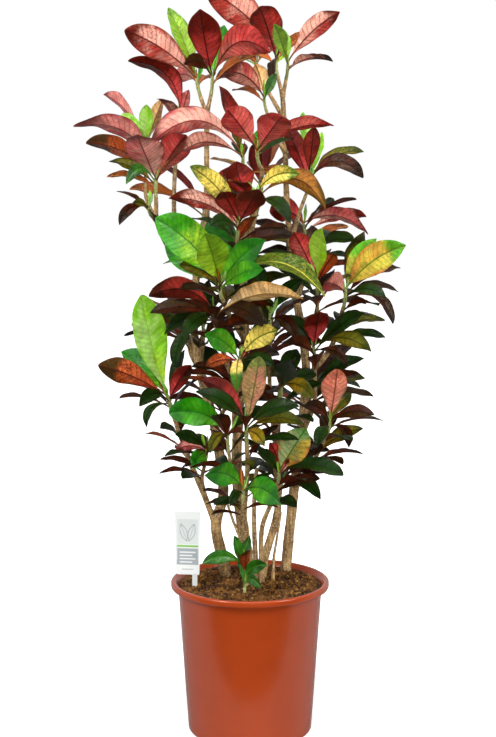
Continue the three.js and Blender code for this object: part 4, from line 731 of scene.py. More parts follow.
def add_limb_leaves(index, row, settle):
    """Lower leaves of a shoot, dark ones, spread over the outer part of its limb."""
    line = smooth_line(place(ALL_LIMBS[row[1]][2]))
    for order, colour in enumerate(LIMB_LEAVES):
        number = 40 * index + LIMB_LEAF_SEED + order
        root = line(between(LIMB_LEAF_REACH, 1 - (order + draw(number)) / len(LIMB_LEAVES)))
        length = row[4][1] * LIMB_LEAF_LENGTH
        if root[2] > LIMB_LEAF_HEIGHT:
            settle(index, turn_ways(root, colour, length, number), LIMB_LEAF_ROOM)


def linear(hex_colour):
    """An sRGB hex colour as linear light, with alpha 1."""
    parts = np.array([int(hex_colour[spot:spot + 2], 16) / 255 for spot in (1, 3, 5)])
    light = np.where(parts <= 0.04045, parts / 12.92, ((parts + 0.055) / 1.055)**2.4)
    return (*light.tolist(), 1.0)


def tint(hex_colour):
    return np.array(linear(hex_colour)[:3])


def mix(first, second, share):
    return first + (second - first) * np.asarray(share)[..., None]


class Skin:
    """Gathers closed shells of points, faces and attributes into one mesh."""

    def __init__(self):
        self.points, self.faces, self.slots, self.sharp = [], [], [], []
        self.facts = {}
        self.count = 0

    def add(self, points, faces, slot=0, sharp=None, **facts):
        points = points.reshape(-1, 3)
        self.points.append(points)
        self.sharp.append(np.zeros(len(points), bool) if sharp is None else sharp.reshape(-1))
        for block in faces:
            self.faces.append(block + self.count)
            self.slots.append(np.full(len(block), slot))
        for name, values in facts.items():
            self.facts.setdefault(name, []).append(values.reshape(len(points), -1))
        self.count += len(points)

    def add_rings(self, rings, start, end, slot=0, sharp=None, **facts):
        """Rings of points joined into a closed shell, with a point at each end. Each ring runs so
        that a step round it, crossed with a step to the next ring, points outwards."""
        steps, sides = rings.shape[:2]
        ring = np.arange(steps - 1)[:, None] * sides
        side = np.arange(sides)[None]
        after = (side + 1) % sides
        quads = np.stack([ring + side, ring + after, ring + sides + after, ring + sides + side], axis=-1)
        last = (steps - 1) * sides
        first = steps * sides
        foot = np.stack([np.full(sides, first), after[0], side[0]], axis=-1)
        head = np.stack([last + side[0], last + after[0], np.full(sides, first + 1)], axis=-1)
        points = np.vstack([rings.reshape(-1, 3), start, end])
        if sharp is not None:
            sharp = np.append(sharp.reshape(-1), [False, True])
        joined = {}
        for name, values in facts.items():
            flat = np.broadcast_to(values, (steps, sides, values.shape[-1])).reshape(steps * sides, -1)
            joined[name] = np.vstack([flat, flat[:1], flat[-1:]])
        self.add(points, [quads.reshape(-1, 4), foot, head], slot, sharp, **joined)

    def mesh(self, name):
        """One mesh of all shells: corners and face starts are set as whole arrays."""
        made = bpy.data.meshes.new(name)
        points = np.vstack(self.points) * MM
        made.vertices.add(len(points))
        made.vertices.foreach_set("co", points.astype(np.float32).ravel())
        sizes = np.concatenate([np.full(len(block), block.shape[1]) for block in self.faces])
        corners = np.concatenate([block.ravel() for block in self.faces])
        starts = np.concatenate([[0], np.cumsum(sizes)[:-1]])
        made.loops.add(len(corners))
        made.loops.foreach_set("vertex_index", corners.astype(np.int32))
        made.polygons.add(len(sizes))
        made.polygons.foreach_set("loop_start", starts.astype(np.int32))
        made.polygons.foreach_set("material_index", np.concatenate(self.slots).astype(np.int32))
        made.polygons.foreach_set("use_smooth", np.ones(len(sizes), bool))
        made.update(calc_edges=True)
        for fact, blocks in self.facts.items():
            values = np.vstack(blocks)
            kind = {1: "FLOAT", 3: "FLOAT_VECTOR", 4: "FLOAT_COLOR"}[values.shape[1]]
            field = {1: "value", 3: "vector", 4: "color"}[values.shape[1]]
            layer = made.attributes.new(fact, kind, "POINT")
            layer.data.foreach_set(field, values.astype(np.float32).ravel())
        sharp = np.concatenate(self.sharp)
        if sharp.any():
            ends = np.zeros(len(made.edges) * 2, np.int32)
            made.edges.foreach_get("vertices", ends)
            ends = ends.reshape(-1, 2)
            layer = made.attributes.new("sharp_edge", "BOOLEAN", "EDGE")
            layer.data.foreach_set("value", sharp[ends].all(axis=1))
        made.validate()
        return made


def add_piece(name, skin, materials, node):
    """Puts a skin into the scene as a piece that rides with the plant and stands for its node."""
    mesh = skin if isinstance(skin, bpy.types.Mesh) else skin.mesh(name)
    for material in materials:
        mesh.materials.append(material)
    piece = bpy.data.objects.new(name, mesh)
    bpy.context.scene.collection.objects.link(piece)
    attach(piece, "root")
    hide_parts(node)


def frames_along(line, shares):
    """Headings of a line with two directions square to them, from the axis that it leans on least."""
    heading = heading_of(line, shares)
    axis = np.eye(3)[np.abs(heading).max(axis=0).argmin()]
    side = unit(np.cross(heading, axis))
    return heading, side, np.cross(heading, side)


# Rows and columns of a leaf's mesh, and its least and most side veins
LEAF_COLUMNS = np.array([-1, -0.92, -0.65, -0.32, -0.05, 0, 0.05, 0.32, 0.65, 0.92, 1])
BUD_COLUMNS = LEAF_COLUMNS[[0, 2, 5, 8, 10]]
MIDRIB_SHARE = 0.05
STALK_ROWS = 4
ROWS_TO_A_VEIN = 3
LAST_ROW_SHARE = 0.3
VEIN_PAIRS = (4, 20)

# How leaves differ: the place of the widest part, the slimness of foot and head, the drawn-out point
WIDEST_SPREAD = 0.3
FOOT_SLIMNESS = (0.74, 1.02)
HEAD_SLIMNESS = (0.5, 0.9)
POINT_SHARE = 0.3
POINT_START = 0.88

# Side veins run forward by shares of the half width and of its square. The edge ripples, the blade
# twists, and its borders are rounded by a high power.
VEIN_LEAN = (0.42, 0.2)
RIPPLE_SHARE = 0.02
TWIST_SHARE = 0.4
TWIST_CENTRE = 0.3
BORDER_POWER = 8

# The midrib stands out below and is a groove above, in millimetres
RIB_DEPTH = 1.15
RIB_FALL = 0.85
RIB_HALF_WIDTH = 1.15
GROOVE_DEPTH = 0.3
GROOVE_HALF_WIDTH = 0.9


def leaf_rings(leaf, seed, sizes, fine=True):
    """A leaf as a closed shell of rings: the upper side from edge to edge, then back below. Rows
    run forward along the side veins, so that each third row is a vein and the rest bulge."""
    blade_share = 1 - PETIOLE_SHARE
    pairs = int(np.clip(round(leaf.length * blade_share / (sizes.vein_spacing / MM)), *VEIN_PAIRS))
    steps = (ROWS_TO_A_VEIN if fine else 1) * pairs
    rows = np.concatenate([np.linspace(0, PETIOLE_SHARE, STALK_ROWS, endpoint=False),
                           PETIOLE_SHARE + blade_share * np.arange(steps) / steps,
                           [1 - blade_share * LAST_ROW_SHARE / steps]])
    veins = np.concatenate([np.zeros(STALK_ROWS), np.arange(steps) * pairs / steps, [pairs - 0.1]])
    columns = LEAF_COLUMNS if fine else BUD_COLUMNS
    across = np.concatenate([columns, columns[-2:0:-1]])
    below = np.arange(len(across)) >= len(columns)
    rim = np.abs(across) == 1
    power = WIDEST_POWER + WIDEST_SPREAD * (draw(seed + 15) - 0.5)
    widest = 0.5**(1 / power)
    foot = between(FOOT_SLIMNESS, draw(seed + 16))
    head = between(HEAD_SLIMNESS, draw(seed + 1))
    point = POINT_SHARE * draw(seed + 17)

    def fine_swell(blade):
        """The plain half width with its widest place varied: a long wedge at the foot, a fuller
        head, and a short point that some leaves draw out."""
        plain = np.maximum(0, np.sin(np.pi * np.clip(blade, 0, 1)**power))
        drawn_out = 1 - point * smooth(POINT_START, 1.0, blade)
        return plain**np.where(blade < widest, foot, head) * drawn_out

    blade_row = np.maximum(0, (rows - PETIOLE_SHARE) / blade_share)
    half_row = (leaf.width / 2 * fine_swell(blade_row))[:, None]
    spread = np.abs(across)[None]
    forward = half_row * (VEIN_LEAN[0] * spread + VEIN_LEAN[1] * spread**2) / leaf.length
    along = np.minimum(rows[:, None] + forward, 0.999)
    across_grid = np.broadcast_to(across[None], along.shape)
    vein = veins[:, None] + 0.5 * smooth(-MIDRIB_SHARE, MIDRIB_SHARE, across_grid)
    blade = np.maximum(0, (along - PETIOLE_SHARE) / blade_share)
    thick = smooth(0.0, 0.14, blade)
    bulge = 0.5 - 0.5 * np.cos(2 * np.pi * np.minimum(vein % 1, 1))
    flat_borders = smooth(0.03, 0.25, spread) * (1 - 0.6 * spread) * (1 - smooth(0.85, 1, blade))
    relief = sizes.vein_relief / MM * (bulge - 0.5) * thick * flat_borders
    phase = 5 * draw(seed + 2)
    ripple = leaf.width * RIPPLE_SHARE * spread**2 * thick * np.sin(21 * blade + phase + 3 * across_grid)
    twist = TWIST_SHARE * (draw(seed + 4) - 0.5) * (blade - TWIST_CENTRE) * across_grid * half_row
    spots, normal, half = leaf_spots(leaf, along, across_grid, fine_swell, relief + ripple + twist)
    mm_across = across_grid * half
    body = sizes.leaf_thickness / MM / 2
    stalk = PETIOLE_HALF_WIDTH * (1 + 0.5 * (1 - smooth(0, 0.05, along)))
    depth = (stalk * (1 - thick) * np.sqrt(np.maximum(0, 1 - spread**2))
             + body * thick * np.sqrt(np.maximum(0, 1 - spread**BORDER_POWER)))
    rib = (RIB_DEPTH - RIB_FALL * blade) * np.exp(-(mm_across / RIB_HALF_WIDTH)**2) * thick
    groove = GROOVE_DEPTH * np.exp(-(mm_across / GROOVE_HALF_WIDTH)**2) * thick
    lift = np.where(below[None], -depth - rib, depth - groove)
    lift = np.where(rim[None], 0, lift)
    rings = spots + normal * lift[..., None]
    facts = leaf_facts(leaf, seed, blade, across_grid, mm_across, along * leaf.length, vein, below)
    return rings, rim, facts


# Patches of noise on a leaf, across and along it in millimetres, and the stalk's colour and force
BROAD_PATCH = (17, 23, 1)
SMALL_PATCH = (7, 9, 1)
STALK_COLOUR = "#9a9a4c"
STALK_FORCE = 0.55
SEED_STEPS = 97


def leaf_facts(leaf, seed, blade, across, mm_across, mm_along, vein, below):
    """Colours and vein places of a leaf's points. Noise in millimetres breaks up each border."""
    number = np.full_like(vein, seed % SEED_STEPS)
    spots = np.stack([mm_across, mm_along, number], axis=-1)
    broad = drift(spots / BROAD_PATCH, 3)
    patchy = drift(spots / SMALL_PATCH, 5)
    uneven, rough = broad - 0.5, patchy - 0.5
    half_side = 1 if draw(seed + 6) > 0.5 else -1
    half = smooth(-0.08, 0.1, across * half_side + 0.35 * uneven) * (0.45 + 0.55 * draw(seed + 8))
    stalk = 1 - smooth(0, 0.06, blade)
    panel = np.stack([np.floor(vein + 0.15), np.sign(across), number], axis=-1)
    tone = (0.84 + 0.32 * draw(seed + 12)) * ((0.9 + 0.2 * broad) * (0.86 + 0.28 * hashed(panel, 7)))
    sides = []
    for look in SIDES[leaf.look]:
        base, field, second, tip, edge, vein_colour = (tint(value) for value in LOOKS[look][:6])
        tip_reach, edge_reach, half_colour_and_sheen, vein_force, speckle = LOOKS[look][6:]
        colour = mix(base, field, smooth(0.08, 0.5, blade + 0.3 * uneven))
        # One half and some patches take the second field: partly the leaf's own second colour, partly
        # painted sheen where that field is paler
        colour = mix(colour, second, half_colour_and_sheen * np.maximum(half, 0.6 * smooth(0.55, 0.8, patchy)))
        edge_start = 1 - edge_reach * (0.6 + draw(seed + 9))
        edge_share = smooth(edge_start, 1.02, np.abs(across) + 0.3 * rough)
        colour = mix(colour, edge, edge_share)
        start = 1 - tip_reach * (0.5 + 0.9 * draw(seed + 10))
        reached = blade + 0.2 * uneven + 0.1 * rough + 0.06 * np.abs(across)
        tip_share = smooth(start, start + 0.14, reached)
        colour = mix(colour, tip, tip_share)
        colour = mix(colour, tint(STALK_COLOUR), STALK_FORCE * stalk) * tone[..., None]
        force = vein_force * (1 - 0.7 * stalk) * (1 - 0.3 * tip_share)
        blotched = np.maximum(smooth(start - 0.3, start + 0.1, blade + 0.4 * uneven), edge_share)
        specks = speckle * (0.25 + 0.75 * np.maximum(blotched, smooth(0.5, 0.7, broad)))
        veins = np.broadcast_to(vein_colour, colour.shape)
        sides.append([np.concatenate([tints, share[..., None]], axis=-1)
                      for tints, share in ((colour, specks), (veins, force))])
    mask = below[None, :, None]
    facing = np.where(below, -1.0, 1.0) + 0 * vein
    return {
        "lamina": np.where(mask, sides[1][0], sides[0][0]),
        "vein_tint": np.where(mask, sides[1][1], sides[0][1]),
        "leaf_place": np.stack([mm_across, mm_along, vein], axis=-1),
        "leaf_kind": np.stack([number, facing, smooth(0, 0.1, blade)], axis=-1),
    }


def tube_rings(line, radius_of, sides, step):
    """A tube along a line: rings every step, with a radius for each share and angle."""
    length = length_of(line)
    count = max(3, math.ceil(length / step)) + 1
    shares = np.linspace(0, 1, count)
    heading, side, other = frames_along(line, shares)
    angles = 2 * np.pi * np.arange(sides) / sides
    radius = radius_of(shares[:, None], angles[None], length)
    outward = side[:, None] * np.cos(angles)[None, :, None] + other[:, None] * np.sin(angles)[None, :, None]
    return line(shares)[:, None] + outward * radius[..., None], shares, heading, length


# Bark, in millimetres and shares: a limb thinner than THIN_LIMB has closer scars and fewer sides
THIN_LIMB = 5
THIN_SCARS, THICK_SCARS = 13, 17
THIN_SIDES, THICK_SIDES = 14, 20
SCAR_REACH = 1.5
SCAR_RISE = 0.05
LUMP_RISE = 0.14
LUMP_LENGTH = 11
SMALL_LUMP_RISE = 0.07
FOOT_FLARE = (0.3, 38, 16)
COLLAR_FLARE = (0.45, 0, 6)
LIMB_STEP = 2.4
TWIG_STEP = 2.0
TWIG_SIDES = 12
KNOT_REACH = 2.2
BARK_SEEDS = 31
LIMB_SEED = 50
LIMB_SEED_STEP = 13


def rings_of_scars(distance, length, seed, spacing):
    """A bump at each old leaf scar: narrow bells at drawn distances along the bark."""
    count = max(1, int(length / spacing))
    spots = (np.arange(count) + 0.2 + 0.6 * np.array([draw(seed + 7 * scar) for scar in range(count)])) \
        * length / count
    return np.exp(-((distance[..., None] - spots) / SCAR_REACH)**2).sum(axis=-1)


def add_limb(skin, name, limb, main, seed):
    """A woody limb: a tapering tube with scar rings, lumps, a foot flare or a collar, and round ends."""
    start, end, places = limb
    line = smooth_line(place(places))
    spacing = THIN_SCARS if start < THIN_LIMB else THICK_SCARS
    rise, foot, reach = FOOT_FLARE if main else COLLAR_FLARE

    def radius_of(share, angle, length):
        distance = share * length + 0 * angle
        plain = start + (end - start) * share
        scars = rings_of_scars(distance, length, seed, spacing)
        around = np.stack([2.2 * np.cos(angle) + 0 * share, 2.2 * np.sin(angle) + 0 * share,
                           distance / LUMP_LENGTH], axis=-1)
        lumps = drift(around, seed) - 0.5
        fine = drift(around * (1.6, 1.6, 2.6), seed + 1) - 0.5
        flare = rise * np.exp(-np.maximum(0, distance - foot) / reach)
        round_end = start * 0.6
        beyond = ((distance - length + round_end) / (round_end + 0.01)).clip(0, 1)
        taper = np.sqrt(1 - beyond**2) if name in BARE_ENDS else 1
        bumps = 1 + flare + SCAR_RISE * scars + LUMP_RISE * lumps + SMALL_LUMP_RISE * fine
        return plain * bumps * np.maximum(taper, 0.15)

    sides = THICK_SIDES if start > THIN_LIMB else THIN_SIDES
    rings, shares, heading, length = tube_rings(line, radius_of, sides, LIMB_STEP)
    distance = np.broadcast_to((shares * length)[:, None], rings.shape[:2])
    scars = rings_of_scars(distance, length, seed, spacing)
    young = np.full(rings.shape[:2], 0.0 if start > THIN_LIMB else 0.12) \
        + 0.2 * shares[:, None] * (start < THIN_LIMB)
    facts = np.stack([scars, young, np.full(rings.shape[:2], seed % BARK_SEEDS)], axis=-1)
    skin.add_rings(rings, line(0.0) - heading[0] * start * 0.3, line(1.0) + heading[-1] * end * 0.3,
                   bark=facts)


def add_twig(skin, twig, seed, slot, **blank):
    """A green twig: a thin tube that swells at each leaf and ends in a small cone."""
    line, radius = twig["line"], twig["radius"]
    length = length_of(line)
    count = len(twig["leaves"])
    spots = 1 - SHOOT_TIP_SHARE * np.arange(count) / max(3, count)

    def radius_of(share, angle, _):
        knots = np.exp(-(((share - spots[None]) * length) / KNOT_REACH)**2).sum(axis=-1, keepdims=True)
        around = np.stack([2 * np.cos(angle) + 0 * share, 2 * np.sin(angle) + 0 * share,
                           share * length / 6 + 0 * angle], axis=-1)
        bumps = 1 + 0.12 * np.minimum(knots, 1.3) + 0.14 * (drift(around, seed) - 0.5)
        return radius * (1 - (1 - TWIG_TAPER) * share) * bumps

    rings, shares, heading, _ = tube_rings(line, radius_of, TWIG_SIDES, TWIG_STEP)
    young = 0.45 + 0.55 * shares[:, None]
    facts = np.stack(np.broadcast_arrays(0.0, young, np.full(TWIG_SIDES, seed % BARK_SEEDS)), axis=-1)
    foot = line(0.0) - (twig["heading"] * 1.2 if "heading" in twig else heading[0])
    skin.add_rings(rings, foot, line(1.0) + heading[-1] * 5, slot, bark=facts, **blank)


# Young leaves at a growing tip: their colours in turn, and their width as a share of their length
BUD_COLOURS = ("lime", "green", "lime", "coral")
BUD_WIDTH_SHARE = 0.26


def bud_leaves(twig, seed):
    """Small folded young leaves that stand around the twig's growing tip."""
    tip = twig["line"](1.0)
    heading = unit(heading_of(twig["line"], 1.0) + np.array([0, 0, 0.8]))
    side = square_to(np.array([1.0, 0.2, 0]), heading)
    other = np.cross(heading, side)
    first = int(3 * draw(seed))
    for order in range(len(BUD_COLOURS)):
        turn = math.radians(GOLDEN_TURN * order) + TURN * draw(seed + order)
        lean = 0.22 + 0.2 * order * draw(seed + 20 + order)
        aim = unit(heading + lean * (side * math.cos(turn) + other * math.sin(turn)))
        reach = 13 + 5 * order * (0.5 + draw(seed + 40 + order))
        colour = BUD_COLOURS[(order + first) % len(BUD_COLOURS)]
        yield Leaf(colour, tip - heading * (1 + order), tip + aim * reach, reach * BUD_WIDTH_SHARE,
                   -0.05 * reach, TURN * draw(seed + order), roll=turn)


def add_node(tree, kind, inputs=(), output=0, **settings):
    """Adds a shader node with its settings, and sets or links its inputs by name, number or order.
    Gives one of its outputs by name or number, or all of them."""
    made = tree.nodes.new("ShaderNode" + kind)
    for name, value in settings.items():
        setattr(made, name, value)
    for key, value in inputs.items() if isinstance(inputs, dict) else enumerate(inputs):
        if isinstance(value, bpy.types.NodeSocket):
            tree.links.new(value, made.inputs[key])
        else:
            made.inputs[key].default_value = value
    return made.outputs if output is None else made.outputs[output]


def new_material(name):
    material = bpy.data.materials.new(name)
    material.use_nodes = True
    material.node_tree.nodes.clear()
    return material, material.node_tree


# Settings of a node that eases from one value to another, one that multiplies and one that mixes
EASED = {"interpolation_type": "SMOOTHSTEP"}
PRODUCT = {"operation": "MULTIPLY"}
COLOURS = {"data_type": "RGBA", "output": 2}

# Noise on a leaf: the width of its patches in millimetres, its detail and its roughness
LEAF_NOISE = {
    "wander": (4.545, 1.0, 0.5),
    "clear": (10, 2.0, 0.5),
    "specks": (3.333, 5.0, 0.72),
    "cloud": (11.11, 3.0, 0.5),
    "pits": (2, 3.0, 0.5),
}
VEIN_WANDER = 0.3
NET_MESH = 2.222

# Where each leaf pattern starts and ends, and its values there. The midrib is in millimetres from the middle
# line, side veins and the painted dome shade are in shares of the way from one side vein to the next. The
# dome shade is painted shade and light: darker by each side vein and lighter mid-panel, so that the panels
# look domed.
LEAF_FADES = {
    "clear": (0.34, 0.6, 0.5, 1.0),
    "side_vein": (0.02, 0.11, 1.0, 0.0),
    "midrib": (0.6, 1.7, 1.0, 0.0),
    "net": (0.0, 0.14, 1.0, 0.0),
    "specks": (0.5, 0.57, 0.0, 1.0),
    "cloud": (0.3, 0.7, 0.8, 1.2),
    "painted_dome_shade": (0.02, 0.38, 0.93, 1.05),
}
SIDE_VEIN_FORCE = 0.85
NET_FORCE = 0.4
MIDRIB_FORCE = 0.9
PIT_RELIEF = 0.35
LEAF_BUMP = {"Strength": 0.7, "Distance": 0.7 * MM}


def leaf_material(name, upper_roughness, under_roughness, refraction, translucence):
    """Living croton leaf, its skin smooth and waxed on top and duller below. The waxed skin gives
    broad soft glints, and the thin blade lets a little light through."""
    material, tree = new_material(name)
    spot, kind = (add_node(tree, "Attribute", output="Vector", attribute_name=fact)
                  for fact in ("leaf_place", "leaf_kind"))
    lamina, vein_tint = (add_node(tree, "Attribute", output=None, attribute_name=fact)
                         for fact in ("lamina", "vein_tint"))
    across, along, row = add_node(tree, "SeparateXYZ", (spot,), None)
    seed, facing, _ = add_node(tree, "SeparateXYZ", (kind,), None)
    flat = add_node(tree, "CombineXYZ", (across, along, 0.0))
    noise = {pattern: add_node(tree, "TexNoise", {"Vector": flat, "W": seed, "Scale": 1 / width,
                               "Detail": detail, "Roughness": roughness}, noise_dimensions="4D")
             for pattern, (width, detail, roughness) in LEAF_NOISE.items()}

    # Side veins wander a little and fade in places, and a fine net lies between them
    bent_row = add_node(tree, "Math", (noise["wander"], VEIN_WANDER, row), operation="MULTIPLY_ADD")
    centred = add_node(tree, "Math", (bent_row, VEIN_WANDER / 2), operation="SUBTRACT")
    from_vein = add_node(tree, "Math", (centred, 0.5), operation="PINGPONG")
    from_middle = add_node(tree, "Math", (across,), operation="ABSOLUTE")
    from_net = add_node(tree, "TexVoronoi", {"Vector": flat, "Scale": 1 / NET_MESH},
                        feature="DISTANCE_TO_EDGE")
    spread = {**noise, "side_vein": from_vein, "midrib": from_middle, "net": from_net, "painted_dome_shade": from_vein}
    faded = {pattern: add_node(tree, "MapRange", (spread[pattern], *ends), **EASED)
             for pattern, ends in LEAF_FADES.items()}
    side_vein = add_node(tree, "Math", (faded["clear"], faded["side_vein"]), **PRODUCT)
    strong = add_node(tree, "Math", (side_vein, SIDE_VEIN_FORCE), **PRODUCT)
    fine = add_node(tree, "Math", (faded["net"], NET_FORCE), **PRODUCT)
    lines = add_node(tree, "Math", (strong, fine), operation="MAXIMUM")
    drawn = add_node(tree, "Math", (lines, vein_tint["Alpha"]), **PRODUCT)
    midrib = add_node(tree, "Math", (faded["midrib"], MIDRIB_FORCE), **PRODUCT)
    veins = add_node(tree, "Math", (midrib, drawn), operation="MAXIMUM")
    specks = add_node(tree, "Math", (faded["specks"], lamina["Alpha"]), **PRODUCT)

    colour = lamina["Color"]
    for share in (veins, specks):
        colour = add_node(tree, "Mix", {0: share, 6: colour, 7: vein_tint["Color"]}, **COLOURS)
    # Tone: the cloud part is the leaf's own uneven colour, and the dome part is painted shade by the side
    # veins and painted light between them
    tone = add_node(tree, "Math", (faded["cloud"], faded["painted_dome_shade"]), **PRODUCT)
    colour = add_node(tree, "HueSaturation", {"Value": tone, "Color": colour})

    # Veins are sunk on the upper side and stand out below
    sunk = add_node(tree, "Math", (lines, -1.0), **PRODUCT)
    relief = add_node(tree, "Math", (noise["pits"], PIT_RELIEF, sunk), operation="MULTIPLY_ADD")
    height = add_node(tree, "Math", (relief, facing), **PRODUCT)
    bump = add_node(tree, "Bump", {**LEAF_BUMP, "Height": height})
    rough = add_node(tree, "MapRange", (facing, -0.5, 0.5, under_roughness, upper_roughness), **EASED)
    waxed = add_node(tree, "BsdfPrincipled", {"Base Color": colour, "Roughness": rough,
                     "IOR": refraction, "Normal": bump})
    glow = add_node(tree, "BsdfTranslucent", {"Color": colour, "Normal": bump})
    shader = add_node(tree, "MixShader", (translucence, waxed, glow))
    add_node(tree, "OutputMaterial", (shader,), None)
    return material


# Colours of dry bark, of its streaks and of its flakes, then of young green bark in two tones
STEM_BARK = ("#b48f5a", "#674c2c", "#e0cca4", "#7c7c44", "#b4b17c")
TWIG_BARK = ("#a89468", "#6a5a38", "#c8b890", "#77803e", "#a9ad74")

# Streaks and flakes on bark, in millimetres
STREAK_WIDTH = 5
STREAK_STRETCH = (1, 1, 0.16)
FLAKE_WIDTH = 2.4
SCAR_SHADE = 0.55
YOUNG_FROM = 0.2
BARK_BUMP = {"Strength": 0.9, "Distance": 2 * MM}


def bark_material(name, looks):
    """Croton wood, its bark grown thin and dry: tan with darker streaks a few millimetres wide,
    rings at old leaf scars, and green where the wood is young."""
    material, tree = new_material(name)
    dry, streak, flake, green, pale_green = (linear(look) for look in looks)
    facts = add_node(tree, "Attribute", output="Vector", attribute_name="bark")
    scar, young, seed = add_node(tree, "SeparateXYZ", (facts,), None)
    spot = add_node(tree, "TexCoord", output="Object")
    streaked = add_node(tree, "Mapping", {0: spot, 3: STREAK_STRETCH})
    streaks, flakes = (
        add_node(tree, "TexNoise", {"Vector": vector, "W": seed, "Scale": 1 / (width * MM), "Detail": detail,
                 "Roughness": roughness}, noise_dimensions="4D")
        for vector, width, detail, roughness in ((streaked, STREAK_WIDTH, 6, 0.68),
                                                 (spot, FLAKE_WIDTH, 3, 0.6)))
    streak_share, flake_share, green_share, young_share, rough = (
        add_node(tree, "MapRange", ends, **EASED)
        for ends in ((streaks, 0.38, 0.62), (flakes, 0.5, 0.68, 0.0, 0.75), (flakes, 0.42, 0.62),
                     (young, YOUNG_FROM, 0.75), (young, YOUNG_FROM, 1.0, 0.8, 0.45)))
    scar_share = add_node(tree, "Math", (scar, SCAR_SHADE), **PRODUCT)
    fresh = add_node(tree, "Mix", {0: green_share, 6: green, 7: pale_green}, **COLOURS)
    colour = streak
    for share, above in ((streak_share, dry), (flake_share, flake), (scar_share, streak),
                         (young_share, fresh)):
        colour = add_node(tree, "Mix", {0: share, 6: colour, 7: above}, **COLOURS)
    relief = add_node(tree, "Math", (flakes, 0.5, streaks), operation="MULTIPLY_ADD")
    bump = add_node(tree, "Bump", {**BARK_BUMP, "Height": relief})
    shader = add_node(tree, "BsdfPrincipled", {"Base Color": colour, "Roughness": rough, "Normal": bump})
    add_node(tree, "OutputMaterial", (shader,), None)
    return material


# Potting mix: dark, brown and pale crumbs, and their widths in millimetres. The dark colour also paints
# shade between the crumbs.
SOIL_COLOURS = ("#2e1902", "#784a10", "#a67a38")
CRUMB_NOISE = {"Scale": 1 / (3 * MM), "Detail": 6.0, "Roughness": 0.7}
CRUMB_WIDTH = 2.6
SOIL_ROUGHNESS = 0.92
SOIL_BUMP = {"Strength": 1.0, "Distance": 2 * MM}


def soil_material():
    """Potting mix of peat and composted bark, tipped in loose: dull, with painted shade that darkens it
    between the crumbs and in the mound's dips, and with paler chips and fibres."""
    material, tree = new_material("potting_mix_loose")
    dark, brown, pale = (linear(colour) for colour in SOIL_COLOURS)
    tone = add_node(tree, "Attribute", output="Fac", attribute_name="tone")
    spot = add_node(tree, "TexCoord", output="Object")
    crumbs = add_node(tree, "TexNoise", {"Vector": spot, **CRUMB_NOISE})
    cells = add_node(tree, "TexVoronoi", {"Vector": spot, "Scale": 1 / (CRUMB_WIDTH * MM)})
    # Painted shade: the mix darkens away from each crumb's middle, between the crumbs
    gap_shade = add_node(tree, "Math", (cells, -0.55, tone), operation="MULTIPLY_ADD")
    lowered = add_node(tree, "Math", (gap_shade, 0.2), operation="SUBTRACT")
    shade = add_node(tree, "Math", (crumbs, 0.9, lowered), operation="MULTIPLY_ADD")
    brown_share = add_node(tree, "MapRange", (shade, 0.1, 0.55), **EASED)
    pale_share = add_node(tree, "MapRange", (shade, 0.55, 1.0), **EASED)
    colour = add_node(tree, "Mix", {0: brown_share, 6: dark, 7: brown}, **COLOURS)
    colour = add_node(tree, "Mix", {0: pale_share, 6: colour, 7: pale}, **COLOURS)
    grainy = add_node(tree, "Math", (cells, -0.8, crumbs), operation="MULTIPLY_ADD")
    bump = add_node(tree, "Bump", {**SOIL_BUMP, "Height": grainy})
    shader = add_node(tree, "BsdfPrincipled", {"Base Color": colour, "Roughness": SOIL_ROUGHNESS,
                      "Normal": bump})
    add_node(tree, "OutputMaterial", (shader,), None)
    return material


# Moulded plastic: widths of its ripples and its grain in millimetres, and its sheen
RIPPLE_WIDTH = 30
GRAIN_WIDTH = 0.8
SHEET_GRAIN_WIDTH = 1.5
PLASTIC_REFRACTION = 1.49
POT_BUMP = {"Strength": 0.25, "Distance": 0.1 * MM}
LABEL_BUMP = {"Strength": 0.15, "Distance": 0.1 * MM}


def pot_material(colour):
    """Polypropylene, injection moulded in a satin mould: an even terracotta with a soft sheen and
    a skin that ripples slightly over centimetres."""
    material, tree = new_material("polypropylene_satin_moulded")
    spot = add_node(tree, "TexCoord", output="Object")
    ripple, grain = (add_node(tree, "TexNoise", {"Vector": spot, "Scale": 1 / (width * MM), "Detail": 2.0})
                     for width in (RIPPLE_WIDTH, GRAIN_WIDTH))
    value = add_node(tree, "MapRange", (ripple, 0.3, 0.7, 0.97, 1.03), **EASED)
    shade = add_node(tree, "HueSaturation", {"Value": value, "Color": tuple(colour)})
    relief = add_node(tree, "Math", (ripple, 4.0, grain), operation="MULTIPLY_ADD")
    bump = add_node(tree, "Bump", {**POT_BUMP, "Height": relief})
    rough = add_node(tree, "MapRange", (grain, 0.3, 0.7, 0.2, 0.27), **EASED)
    shader = add_node(tree, "BsdfPrincipled", {"Base Color": shade, "Roughness": rough,
                      "IOR": PLASTIC_REFRACTION, "Normal": bump})
    add_node(tree, "OutputMaterial", (shader,), None)
    return material


def label_material():
    """Polypropylene sheet, die cut and printed: smooth white with flat ink, slightly glossy."""
    material, tree = new_material("polypropylene_sheet_printed")
    ink = add_node(tree, "Attribute", output="Color", attribute_name="ink")
    spot = add_node(tree, "TexCoord", output="Object")
    grain = add_node(tree, "TexNoise",
                     {"Vector": spot, "Scale": 1 / (SHEET_GRAIN_WIDTH * MM), "Detail": 2.0})
    bump = add_node(tree, "Bump", {**LABEL_BUMP, "Height": grain})
    rough = add_node(tree, "MapRange", (grain, 0.3, 0.7, 0.3, 0.42), **EASED)
    shader = add_node(tree, "BsdfPrincipled", {"Base Color": ink, "Roughness": rough, "Normal": bump})
    add_node(tree, "OutputMaterial", (shader,), None)
    return material


